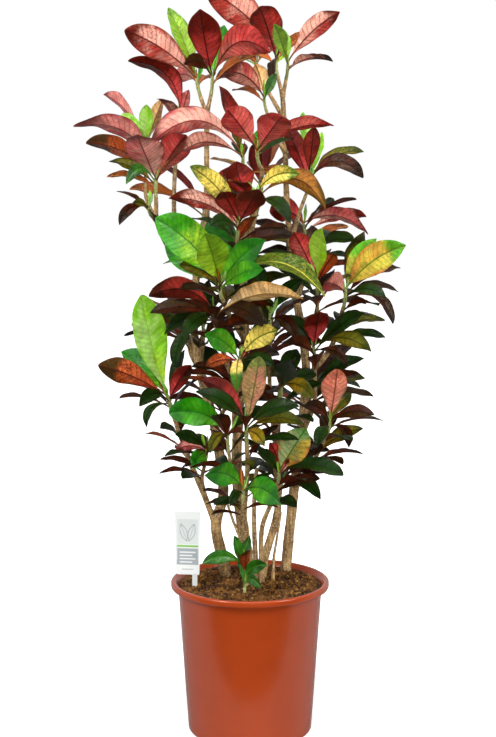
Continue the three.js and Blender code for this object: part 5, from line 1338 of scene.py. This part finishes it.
class CrotonSizes(PropertyGroup):
    """Sizes that a user would change."""

    lip_radius: FloatProperty(name="Lip radius", description="Outer radius of the pot's lip",
                              default=LIP_RADIUS * MM, unit="LENGTH")
    pot_height: FloatProperty(name="Pot height", description="Height of the pot's lip above its foot",
                              default=POT_HEIGHT * MM, unit="LENGTH")
    leaf_thickness: FloatProperty(name="Leaf thickness", description="Thickness of a leaf's blade",
                                  default=0.7 * MM, unit="LENGTH")
    vein_spacing: FloatProperty(name="Vein spacing", description="Distance between side veins of a leaf",
                                default=7.5 * MM, unit="LENGTH")
    vein_relief: FloatProperty(name="Vein relief", description="Height of the blade's bulges between veins",
                               default=0.5 * MM, unit="LENGTH")
    crumb_size: FloatProperty(name="Crumb size", description="Length of the soil's largest bark chips",
                              default=9 * MM, unit="LENGTH")
    crumb_count: IntProperty(name="Crumbs", description="Number of bark chips on the soil", default=2600)


class CrotonColours(PropertyGroup):
    """Colours that a user would change."""

    pot: FloatVectorProperty(name="Pot", description="Colour of the pot's plastic", size=4, subtype="COLOR",
                             default=linear("#943712"))
    floor: FloatVectorProperty(name="Floor", description="Colour of the studio floor", size=4,
                               subtype="COLOR", default=linear("#f4f4f2"))


def turned(profile, sectors):
    """A profile of radii and heights, from the upper end of the axis outwards and round, turned
    about the upright axis. Its first and last points lie on the axis."""
    angles = 2 * np.pi * np.arange(sectors) / sectors
    radius, height = np.array(profile[1:-1], float).T
    return np.stack([radius[:, None] * np.cos(angles), radius[:, None] * np.sin(angles),
                     np.broadcast_to(height[:, None], (len(height), sectors))], axis=-1)


def rounded(corners, radius, steps=4):
    """A profile whose corners are cut by arcs: each arc leans on its corner by squared shares."""
    points = [corners[0]]
    for before, corner, after in zip(corners, corners[1:], corners[2:]):
        before, corner, after = (np.array(point, float) for point in (before, corner, after))
        start = corner + (before - corner) * min(0.45, radius / max(np.linalg.norm(before - corner), 1e-6))
        end = corner + (after - corner) * min(0.45, radius / max(np.linalg.norm(after - corner), 1e-6))
        for share in np.linspace(0, 1, steps + 1):
            points.append(tuple((1 - share)**2 * start + 2 * share * (1 - share) * corner + share**2 * end))
    return points + [corners[-1]]


def wall_radius(height):
    return FOOT_RADIUS + (BODY_TOP_RADIUS - FOOT_RADIUS) * height / (POT_HEIGHT - LIP_DROP)


def inner_radius(height):
    """The radius of the pot's inner wall, which flares inside the lip."""
    foot = BODY_TOP_RADIUS - POT_WALL
    flare = (height - POT_HEIGHT + LIP_DROP) / LIP_DROP
    flared = foot + (LIP_RADIUS - LIP_WIDTH - foot) * flare
    return np.where(flare < 0, wall_radius(height) - POT_WALL, flared)


def soil_height(x, y):
    """A low mound with small lumps that fade out at the edge."""
    share = np.minimum(1, np.hypot(x, y) / BODY_TOP_RADIUS)
    along, aside, slanting = LUMP_RATES
    lumps = np.sin(along * x) * np.cos(aside * y) + np.sin(slanting * (x - y)) / 2
    return SOIL_EDGE_HEIGHT + SOIL_MOUND * (1 - share**2) + SOIL_LUMP * lumps * (1 - share**4)


# The pot's rounded corners, the step under its lip and the drills for its drains, in millimetres
CORNER_ROUND = 3.2
LIP_STEP = 0.5
DRILL_ENDS = (-5, 9)
DRILL_SECTORS = 40
LEVEL_NORMAL = 0.999


class OBJECT_OT_croton_pot(Operator):
    """Makes the grower's pot: a turned wall with a rolled lip, and drain holes cut through its floor"""

    bl_idname = "object.croton_pot"
    bl_label = "Pot"

    def execute(self, context):
        sizes = context.scene.croton_sizes
        lip = sizes.lip_radius / MM
        top = sizes.pot_height / MM
        inner = BODY_TOP_RADIUS - POT_WALL
        corners = [(0, POT_FLOOR), (wall_radius(POT_FLOOR) - POT_WALL, POT_FLOOR), (inner, top - LIP_DROP),
                   (lip - LIP_WIDTH, top), (lip, top), (lip, top - LIP_DROP),
                   (BODY_TOP_RADIUS, top - LIP_DROP - LIP_STEP), (FOOT_RADIUS, 0), (0, 0)]
        rings = turned(rounded(corners, CORNER_ROUND), POT_SECTORS)
        skin = Skin()
        skin.add_rings(rings[:, ::-1], np.array([0, 0, POT_FLOOR]), np.zeros(3))
        low, high = DRILL_ENDS
        drills = Skin()
        for turn in 2 * math.pi * np.arange(DRAIN_COUNT) / DRAIN_COUNT:
            centre = DRAIN_RING * np.array([math.cos(turn), math.sin(turn), 0])
            drill = turned([(0, 0), (DRAIN_RADIUS, low), (DRAIN_RADIUS, high), (0, 0)], DRILL_SECTORS)
            drills.add_rings(drill + centre, centre + (0, 0, low), centre + (0, 0, high))
        body = bpy.data.objects.new("pot_blank", skin.mesh("pot_blank"))
        tool = bpy.data.objects.new("pot_drills", drills.mesh("pot_drills"))
        for spare in (body, tool):
            context.scene.collection.objects.link(spare)
        cut = body.modifiers.new("drains", "BOOLEAN")
        cut.object = tool
        cut.solver = "EXACT"
        context.view_layer.update()
        shaped = body.evaluated_get(context.evaluated_depsgraph_get())
        mesh = bpy.data.meshes.new_from_object(shaped)
        mesh.name = "pot_wall"
        for spare in (body, tool):
            bpy.data.objects.remove(spare)
        normals = np.zeros(len(mesh.polygons) * 3, np.float32)
        mesh.polygons.foreach_get("normal", normals)
        level = np.abs(normals.reshape(-1, 3)[:, 2]) >= LEVEL_NORMAL
        mesh.polygons.foreach_set("use_smooth", ~level)
        mesh.materials.clear()
        add_piece("pot_wall", mesh, [pot_material(context.scene.croton_colours.pot)], "pot")
        return {"FINISHED"}


# Lumps of the soil's surface: their height and width in millimetres, and their seed
SOIL_CRUMBS = ((5, 16, 1), (4, 7, 2), (2.4, 3.4, 3), (1.2, 1.8, 4))

# Bark chips: the smallest one's share of the largest, widths and heights as shares of their length,
# how flat they lie, how rough they are, their lift and the bare rim in millimetres, and their darkest
# tone. Their corners lie 1.9 from the middle before they are brought to 1.
CHIP_SEED = 11
LEAST_CHIP = 0.16
CHIP_WIDTHS = (0.4, 0.9)
CHIP_HEIGHTS = (0.22, 0.6)
CHIP_FLATNESS = 1.5
CHIP_ROUGHNESS = 0.35
CHIP_LIFTS = (-0.6, 1.4)
CHIP_RIM = 5
DARKEST_CHIP = 0.15
CHIP_CORNERS = 12
CHIP_SHRINK = 1.9

# Fibres: their number, the first number of each of their draws, and their reach over the soil
FIBRE_COUNT = 230
FIBRE_DRAWS = (900, 1200, 1500, 1700, 1900, 1950, 0, 2100, 2300)
FIBRE_REACH = 0.93
FIBRE_SIDES = 5
FIBRE_STEP = 2.5


def add_chips(skin, sizes):
    """Bark chips on the soil: rough twelve-cornered crumbs, stretched, turned and strewn about."""
    count = sizes.crumb_count
    rng = np.random.default_rng(CHIP_SEED)
    golden = (1 + 5**0.5) / 2
    corners = np.array([(-1, golden, 0), (1, golden, 0), (-1, -golden, 0), (1, -golden, 0),
                        (0, -1, golden), (0, 1, golden), (0, -1, -golden), (0, 1, -golden),
                        (golden, 0, -1), (golden, 0, 1), (-golden, 0, -1), (-golden, 0, 1)]) / CHIP_SHRINK
    faces = np.array([(0, 11, 5), (0, 5, 1), (0, 1, 7), (0, 7, 10), (0, 10, 11), (1, 5, 9), (5, 11, 4),
                      (11, 10, 2), (10, 7, 6), (7, 1, 8), (3, 9, 4), (3, 4, 2), (3, 2, 6), (3, 6, 8),
                      (3, 8, 9), (4, 9, 5), (2, 4, 11), (6, 2, 10), (8, 6, 7), (9, 8, 1)])
    size = sizes.crumb_size / MM / 2 * (LEAST_CHIP + (1 - LEAST_CHIP) * rng.random(count)**3)
    shape = np.stack([np.ones(count), rng.uniform(*CHIP_WIDTHS, count), rng.uniform(*CHIP_HEIGHTS, count)],
                     axis=1)
    turn = rng.normal(size=(count, 3, 3))
    turn[:, :, 2] += np.array([0, 0, CHIP_FLATNESS])
    turn = np.linalg.qr(turn)[0]
    turn *= np.sign(np.linalg.det(turn))[:, None, None]
    reach = (inner_radius(SOIL_EDGE_HEIGHT) - CHIP_RIM) * np.sqrt(rng.random(count))
    angle = rng.uniform(0, 2 * np.pi, count)
    x, y = reach * np.cos(angle), reach * np.sin(angle)
    height = soil_height(x, y) + 0.2 * size + rng.uniform(*CHIP_LIFTS, count)
    centre = np.stack([x, y, height], axis=1)
    rough = corners[None] * (1 + CHIP_ROUGHNESS * (rng.random((count, CHIP_CORNERS, 1)) - 0.5))
    points = np.einsum("nij,nkj->nki", turn, rough * (shape * size[:, None])[:, None]) + centre[:, None]
    blocks = (faces[None] + CHIP_CORNERS * np.arange(count)[:, None, None]).reshape(-1, 3)
    tone = np.repeat(DARKEST_CHIP + (1 - DARKEST_CHIP) * rng.random(count)**2.2, CHIP_CORNERS)
    skin.add(points, [blocks], tone=tone[:, None])


def add_fibre(skin, number, edge):
    """A fibre that lies on the soil: a thin tube along a short chord, bowed up and aside."""
    bearing, out, turn, span, aside, ahead, rise, girth, tone = (draw(first + number)
                                                                 for first in FIBRE_DRAWS)
    angle, turn = TURN * bearing, TURN * turn
    reach = edge * FIBRE_REACH * math.sqrt(out)
    x, y = reach * math.cos(angle), reach * math.sin(angle)
    chord = np.array([math.cos(turn), math.sin(turn), 0.0]) * (3 + 15 * span**1.5)
    start = np.array([x, y, soil_height(x, y) + 0.6]) - chord / 2
    bend = start + chord / 2 + np.array([5 * aside - 2.5, 4 * ahead - 2, 1 + 3 * rise])
    line = bent_line(start, bend, start + chord)
    radius = 0.26 + 0.4 * girth**2
    rings = tube_rings(line, lambda share, angle, _: radius + 0 * (share + angle), FIBRE_SIDES,
                       FIBRE_STEP)[0]
    skin.add_rings(rings, line(0.0), line(1.0), tone=np.full((1, 1, 1), 0.55 + 0.45 * tone))


class OBJECT_OT_croton_soil(Operator):
    """Makes the potting mix: a crumbly mound with bark chips and fibres strewn over it"""

    bl_idname = "object.croton_soil"
    bl_label = "Soil"

    def execute(self, context):
        bottom = POT_FLOOR + SOIL_GAP
        top = SOIL_EDGE_HEIGHT
        above = bottom + SOIL_FOOT_CUT
        lip_foot = POT_HEIGHT - LIP_DROP
        foot, low, high, edge = (float(inner_radius(height)) - SOIL_GAP
                                 for height in (bottom, above, lip_foot, top))
        walls = [(foot - SOIL_FOOT_CUT, bottom), (low, above), (high, lip_foot)]
        surface = [(edge * (1 - ring / SOIL_RINGS), top) for ring in range(SOIL_RINGS)]
        rings = turned([(0, bottom)] + walls + surface + [(0, top)], SOIL_SECTORS)
        mound = rings[len(walls):]
        x, y = mound[..., 0], mound[..., 1]
        spots = np.stack([x, y, 0 * x], axis=-1)
        crumbs = sum(height * (drift(spots / width, seed) - 0.5) for height, width, seed in SOIL_CRUMBS)
        fade = smooth(0, 0.06, 1 - np.hypot(x, y) / (edge + 1))
        mound[..., 2] = soil_height(x, y) + crumbs * (0.25 + 0.75 * fade)
        centre = np.array([0, 0, mound[-1, :, 2].mean()])
        # The mound's tone follows its lumps, lighter on them and darker in their dips: painted shade
        tone = np.concatenate([np.full((len(walls), SOIL_SECTORS), 0.3), 0.34 + 0.06 * crumbs])
        skin = Skin()
        skin.add_rings(rings, np.array([0, 0, bottom]), centre, tone=tone[..., None])
        add_chips(skin, context.scene.croton_sizes)
        for number in range(FIBRE_COUNT):
            add_fibre(skin, number, edge)
        add_piece("soil_mound", skin, [soil_material()], "soil")
        return {"FINISHED"}


# The label's rounding, camber and border rows in millimetres, and its mesh
LABEL_ROUND = 1.6
LABEL_CAMBER = 0.7
BORDER_ROWS = np.array([0.02, 0.3, 0.9])
BOARD_ROWS, BOARD_COLUMNS = 150, 61
STAKE_COLUMNS = 9
SHEET_POWER = 24

# The label's inks, and its plain print: the ink of each block, then its left, right, lower and upper
# borders in millimetres
INKS = {"white": "#cfd1cf", "pale": "#bfc4c2", "grey": "#90979a", "green": "#7aac54"}
STAKE_COLOUR = "#bcbebc"
PRINT_BLOCKS = (
    ("pale", -16, 16, 46, 84), ("green", -16, 16, 42, 45), ("grey", -16, 16, 15, 40),
    ("grey", -9, 9, 7.3, 8.7), ("white", -12, 12, 33.2, 34.8), ("white", -12, 7, 28.2, 29.8),
    ("white", -12, 12, 23.2, 24.8), ("white", -12, 7, 18.2, 19.8),
)

# The print's two leaf outlines: middle and lean of each, then their height and half measures
PRINT_LEAVES = ((-6, 0.35), (6, -0.3))
PRINT_LEAF_HEIGHT = 64
PRINT_LEAF_REACH = 14
PRINT_LEAF_WIDTH = 5
PRINT_OUTLINE = 0.6
PRINT_MIDRIB = 0.35


def sheet_shell(columns, heights, edges):
    """A thin cambered sheet as rings of a closed shell, whose thickness vanishes at its borders.
    edges gives the left and right border at each height. Also gives its back and its borders."""
    front = np.linspace(0, 1, columns)
    share = np.concatenate([front, front[-2:0:-1]])[None]
    back = np.arange(share.size)[None] >= columns
    left, right = (border[:, None] for border in edges(heights))
    x = left + (right - left) * share
    depth = LABEL_THICKNESS / 2 * np.sqrt(1 - (2 * share - 1)**SHEET_POWER)
    y = np.where(back, depth, -depth) + LABEL_CAMBER * (1 - (x / (LABEL_TOP_WIDTH / 2))**2)
    rings = np.stack([x, y, np.broadcast_to(heights[:, None], x.shape)], axis=-1)
    return rings, back, np.broadcast_to((share == 0) | (share == 1), x.shape)


def board_edges(height):
    """Borders of the label's board, which widens upwards and has rounded corners."""
    half = (LABEL_FOOT_WIDTH + (LABEL_TOP_WIDTH - LABEL_FOOT_WIDTH) * height / LABEL_HEIGHT) / 2
    inset = np.clip(LABEL_ROUND - np.minimum(height, LABEL_HEIGHT - height), 0, LABEL_ROUND)
    half = half - LABEL_ROUND + np.sqrt(np.maximum(0, LABEL_ROUND**2 - inset**2))
    return -half, half


def stake_edges(height):
    """Borders of the label's stake, which stands near the board's right border and is pointed."""
    middle = LABEL_FOOT_WIDTH / 2 - STAKE_INSET - STAKE_WIDTH / 2
    half = STAKE_WIDTH / 2 * np.clip((height + STAKE_LENGTH) / STAKE_WIDTH, 0.02, 1)
    return middle - half, middle + half


def board_ink(rings, back):
    """The print: a pale panel with two leaf outlines, a grey panel with bars, a thin foot line."""
    x, z = rings[..., 0], rings[..., 2]
    colour = np.broadcast_to(tint(INKS["white"]), (*x.shape, 3)).copy()

    def stamp(mask, ink):
        np.copyto(colour, tint(INKS[ink]), where=(mask & ~back)[..., None])

    for ink, left, right, low, high in PRINT_BLOCKS:
        stamp((x > left) & (x < right) & (z > low) & (z < high), ink)
    for middle, lean in PRINT_LEAVES:
        over, up = x - middle, z - PRINT_LEAF_HEIGHT
        across = np.abs(over * math.cos(lean) + up * math.sin(lean))
        along = up * math.cos(lean) - over * math.sin(lean)
        shape = PRINT_LEAF_WIDTH * np.cos(np.clip(along / PRINT_LEAF_REACH, -1, 1) * np.pi / 2)
        drawn = (np.abs(across - shape) < PRINT_OUTLINE) | (across < PRINT_MIDRIB)
        stamp(drawn & (np.abs(along) < PRINT_LEAF_REACH), "grey")
    return np.concatenate([colour, np.ones((*x.shape, 1))], axis=-1)


def stake_ink(rings, back):
    return np.broadcast_to(np.array(linear(STAKE_COLOUR)), (*rings.shape[:2], 4))


def stand_label(points):
    """Leans and turns points of the label and puts them at its place."""
    lean, yaw = math.radians(LABEL_LEAN), math.radians(LABEL_YAW)
    leaned = np.array([(1, 0, 0), (0, math.cos(lean), -math.sin(lean)),
                       (0, math.sin(lean), math.cos(lean))])
    swung = np.array([(math.cos(yaw), -math.sin(yaw), 0), (math.sin(yaw), math.cos(yaw), 0), (0, 0, 1)])
    return points @ (swung @ leaned).T + np.array(LABEL_PLACE)


class OBJECT_OT_croton_label(Operator):
    """Makes the stick-in label: a white plastic board with a plain print, on a pointed stake"""

    bl_idname = "object.croton_label"
    bl_label = "Label"

    def execute(self, context):
        rows = np.linspace(LABEL_ROUND, LABEL_HEIGHT - LABEL_ROUND, BOARD_ROWS)
        board = np.concatenate([BORDER_ROWS, rows, LABEL_HEIGHT - BORDER_ROWS[::-1]])
        shoulder = STAKE_WIDTH - STAKE_LENGTH
        stake = np.concatenate([np.linspace(-STAKE_LENGTH, shoulder, 8), np.linspace(shoulder + 2, 2, 20)])
        skin = Skin()
        for columns, heights, edges, ink in ((BOARD_COLUMNS, board, board_edges, board_ink),
                                             (STAKE_COLUMNS, stake, stake_edges, stake_ink)):
            rings, back, borders = sheet_shell(columns, heights, edges)
            middle = stand_label(rings.mean(axis=1))
            skin.add_rings(stand_label(rings), middle[0], middle[-1], sharp=borders, ink=ink(rings, back))
        add_piece("plant_label", skin, [label_material()], "label")
        return {"FINISHED"}


class OBJECT_OT_croton_stems(Operator):
    """Makes the woody stems: each is one piece of tapering, scarred limbs with collars"""

    bl_idname = "object.croton_stems"
    bl_label = "Stems"

    def execute(self, context):
        bark = bark_material("croton_bark_dry", STEM_BARK)
        seeds = {name: LIMB_SEED + LIMB_SEED_STEP * number for number, name in enumerate(ALL_LIMBS)}
        for node, limbs in LIMBS.items():
            skin = Skin()
            for name, limb in limbs.items():
                add_limb(skin, name, limb, node.endswith(name), seeds[name])
            add_piece(node.replace("stem_", "bark_").replace("twig_", "bark_"), skin, [bark], node)
        return {"FINISHED"}


# Material slots of a shoot, the leaf facts of its twig, and the seeds of its parts
WAXED_SLOT, YOUNG_SLOT, TWIG_SLOT = range(3)
NOT_A_LEAF = {"lamina": np.zeros((1, 1, 4)), "vein_tint": np.zeros((1, 1, 4)),
              "leaf_place": np.zeros((1, 1, 3)), "leaf_kind": np.zeros((1, 1, 3))}
TWIG_SEED = 700
SHOOT_SEED_STEP = 100
LEAF_SEED_STEP = 3
LEAF_FOOT = 0.5


class OBJECT_OT_croton_shoots(Operator):
    """Makes the leafy shoots: each is one piece of a green twig, its leaves and its growing tip"""

    bl_idname = "object.croton_shoots"
    bl_label = "Shoots"

    def execute(self, context):
        sizes = context.scene.croton_sizes
        mature = leaf_material("croton_leaf_waxed", upper_roughness=0.3, under_roughness=0.46,
                               refraction=1.25, translucence=0.12)
        young = leaf_material("croton_leaf_young", upper_roughness=0.27, under_roughness=0.44,
                              refraction=1.48, translucence=0.2)
        twig_bark = bark_material("croton_twig_green", TWIG_BARK)
        for index, twig in enumerate(grow()):
            skin = Skin()
            add_twig(skin, twig, TWIG_SEED + index, TWIG_SLOT, **NOT_A_LEAF)
            leaves = [(leaf, True) for leaf in twig["leaves"]] + [(leaf, False) for leaf in twig["buds"]]
            for order, (leaf, fine) in enumerate(leaves):
                seed = SHOOT_SEED_STEP * index + LEAF_SEED_STEP * order
                rings, rim, facts = leaf_rings(leaf, seed, sizes, fine)
                sharp = np.broadcast_to(rim[None], rings.shape[:2])
                foot = leaf.root - unit(leaf.knee - leaf.root) * LEAF_FOOT
                slot = YOUNG_SLOT if leaf.colour in YOUNG_COLOURS else WAXED_SLOT
                skin.add_rings(rings, foot, leaf.tip, slot, sharp.copy(), bark=np.zeros((1, 1, 3)), **facts)
            name = twig["name"]
            node = name if name == SPROUT[0] else "shoot_" + name
            add_piece("leaves_" + name, skin, [mature, young, twig_bark], node)
        return {"FINISHED"}


# Studio lamps: name, place and size in metres, power in watts, and the height that they face
LAMPS = (
    ("lamp_left", (-1.6, -1.6, 2.1), (0.9, 1.2), 76, 0.85),
    ("lamp_right", (1.8, -1.3, 1.9), (0.9, 1.2), 50, 0.85),
    ("lamp_top", (0.1, -0.4, 2.7), (1.2, 0.9), 46, 0.85),
    ("lamp_front", (0.3, -2.7, 0.8), (1.4, 1.2), 62, 0.9),
)
UNREFLECTED_LAMP = "lamp_front"

# Sheets of matte paper: left, front, right and rear borders and drop in millimetres, the floor's own
# light near the pot and far from it, and the metres over which it grows
FLOOR_BOX = (-9000, -9000, 9000, 9000)
FLOOR_GLOW = (0.3, 1.0)
SHEET_BOX = (-900, -200, 900, 900)
SHEET_DROP = -1
SHEET_GREY = (0.38, 0.38, 0.38, 1)
GLOW_REACH = (0.15, 1.2)
PAPER_ROUGHNESS = 0.8

# World light: how it grows from the viewer's side to the plant's, and how it fades upwards
SIDE_LIGHT = (-0.25, 0.2, 0.04, 0.75)
SKY_LIGHT = (0.15, 0.75, 1.0, 0.4)
WHITE = (1, 1, 1, 1)


class OBJECT_OT_croton_studio(Operator):
    """Makes the studio: a pale floor, soft lamps, a white sweep behind and the camera"""

    bl_idname = "object.croton_studio"
    bl_label = "Studio"

    def execute(self, context):
        scene = context.scene
        scene.view_settings.view_transform = "Standard"
        floor = self.add_floor("studio_floor", FLOOR_BOX, 0, scene.croton_colours.floor, FLOOR_GLOW)
        floor.visible_diffuse = floor.visible_glossy = floor.visible_shadow = False
        sheet = self.add_floor("studio_sheet", SHEET_BOX, SHEET_DROP, SHEET_GREY, (0, 0))
        sheet.visible_camera = False
        self.light_world(scene)
        for name, location, size, power, aim_height in LAMPS:
            lamp = self.add_lamp(name, location, size, power, (0, 0, aim_height))
            lamp.visible_glossy = name != UNREFLECTED_LAMP
        data = bpy.data.cameras.new("studio_camera")
        data.sensor_fit = "HORIZONTAL"
        data.sensor_width = SENSOR_WIDTH
        data.lens = FOCAL_PIXELS / PICTURE_WIDTH * SENSOR_WIDTH
        camera = bpy.data.objects.new("studio_camera", data)
        camera.location = (EYE_ASIDE * MM, -EYE_DISTANCE * MM, EYE_HEIGHT * MM)
        camera.rotation_euler = (math.radians(90 - LOOK_DOWN), 0, 0)
        scene.collection.objects.link(camera)
        scene.camera = camera
        return {"FINISHED"}

    def add_floor(self, name, box, height, colour, glow):
        """A level sheet of matte paper. Far from the pot it has light of its own, to stay white."""
        paper, tree = new_material(name + "_paper")
        spot = add_node(tree, "TexCoord", output="Object")
        away = add_node(tree, "VectorMath", (spot,), "Value", operation="LENGTH")
        shader = add_node(tree, "BsdfPrincipled", {
            "Base Color": tuple(colour), "Roughness": PAPER_ROUGHNESS,
            "Specular IOR Level": 0.0, "Emission Color": WHITE,
            "Emission Strength": add_node(tree, "MapRange", (away, *GLOW_REACH, *glow), **EASED)})
        add_node(tree, "OutputMaterial", (shader,), None)
        left, front, right, rear = box
        corners = np.array([(left, front, height), (right, front, height), (right, rear, height),
                            (left, rear, height)], float)
        skin = Skin()
        skin.add(corners, [np.array([(0, 1, 2, 3)])])
        floor = bpy.data.objects.new(name, skin.mesh(name))
        floor.data.materials.append(paper)
        bpy.context.scene.collection.objects.link(floor)
        return floor

    def light_world(self, scene):
        """White at the sides and behind the plant, dark behind the viewer, and plain white to look at."""
        world = bpy.data.worlds.new("studio_sweep")
        scene.world = world
        world.use_nodes = True
        tree = world.node_tree
        tree.nodes.clear()
        toward = add_node(tree, "TexCoord", output="Generated")
        _, y, z = add_node(tree, "SeparateXYZ", (toward,), None)
        sides, sky = (add_node(tree, "MapRange", (height, *reach), **EASED)
                      for height, reach in ((y, SIDE_LIGHT), (z, SKY_LIGHT)))
        lit = add_node(tree, "Math", (sides, sky), **PRODUCT)
        glow = add_node(tree, "Background", (WHITE, lit))
        plain = add_node(tree, "Background", (WHITE, 1.0))
        seen = add_node(tree, "LightPath", output="Is Camera Ray")
        both = add_node(tree, "MixShader", (seen, glow, plain))
        add_node(tree, "OutputWorld", (both,), None)

    def add_lamp(self, name, location, size, power, aim):
        data = bpy.data.lights.new(name, "AREA")
        data.shape = "RECTANGLE"
        data.size, data.size_y = size
        data.energy = power
        lamp = bpy.data.objects.new(name, data)
        lamp.location = location
        lamp.rotation_euler = (Vector(aim) - Vector(location)).to_track_quat("-Z", "Y").to_euler()
        bpy.context.scene.collection.objects.link(lamp)
        return lamp


OPERATORS = (OBJECT_OT_croton_pot, OBJECT_OT_croton_soil, OBJECT_OT_croton_label, OBJECT_OT_croton_stems,
             OBJECT_OT_croton_shoots, OBJECT_OT_croton_studio)


class VIEW3D_PT_croton(Panel):
    """Lists the sizes, colours and building steps of the croton"""

    bl_label = "Potted croton"
    bl_space_type = "VIEW_3D"
    bl_region_type = "UI"
    bl_category = "Croton"

    def draw(self, context):
        for group in (context.scene.croton_sizes, context.scene.croton_colours):
            for name in group.__annotations__:
                self.layout.prop(group, name)
        for operator in OPERATORS:
            self.layout.operator(operator.bl_idname)


def register():
    for group in (CrotonSizes, CrotonColours, *OPERATORS, VIEW3D_PT_croton):
        bpy.utils.register_class(group)
    bpy.types.Scene.croton_sizes = PointerProperty(type=CrotonSizes)
    bpy.types.Scene.croton_colours = PointerProperty(type=CrotonColours)


def unregister():
    del bpy.types.Scene.croton_sizes
    del bpy.types.Scene.croton_colours
    for group in (VIEW3D_PT_croton, *reversed(OPERATORS), CrotonColours, CrotonSizes):
        bpy.utils.unregister_class(group)


def main():
    register()
    for operator in OPERATORS:
        getattr(bpy.ops.object, operator.bl_idname.split(".")[1])()
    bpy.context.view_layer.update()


if __name__ == "__main__":
    main()
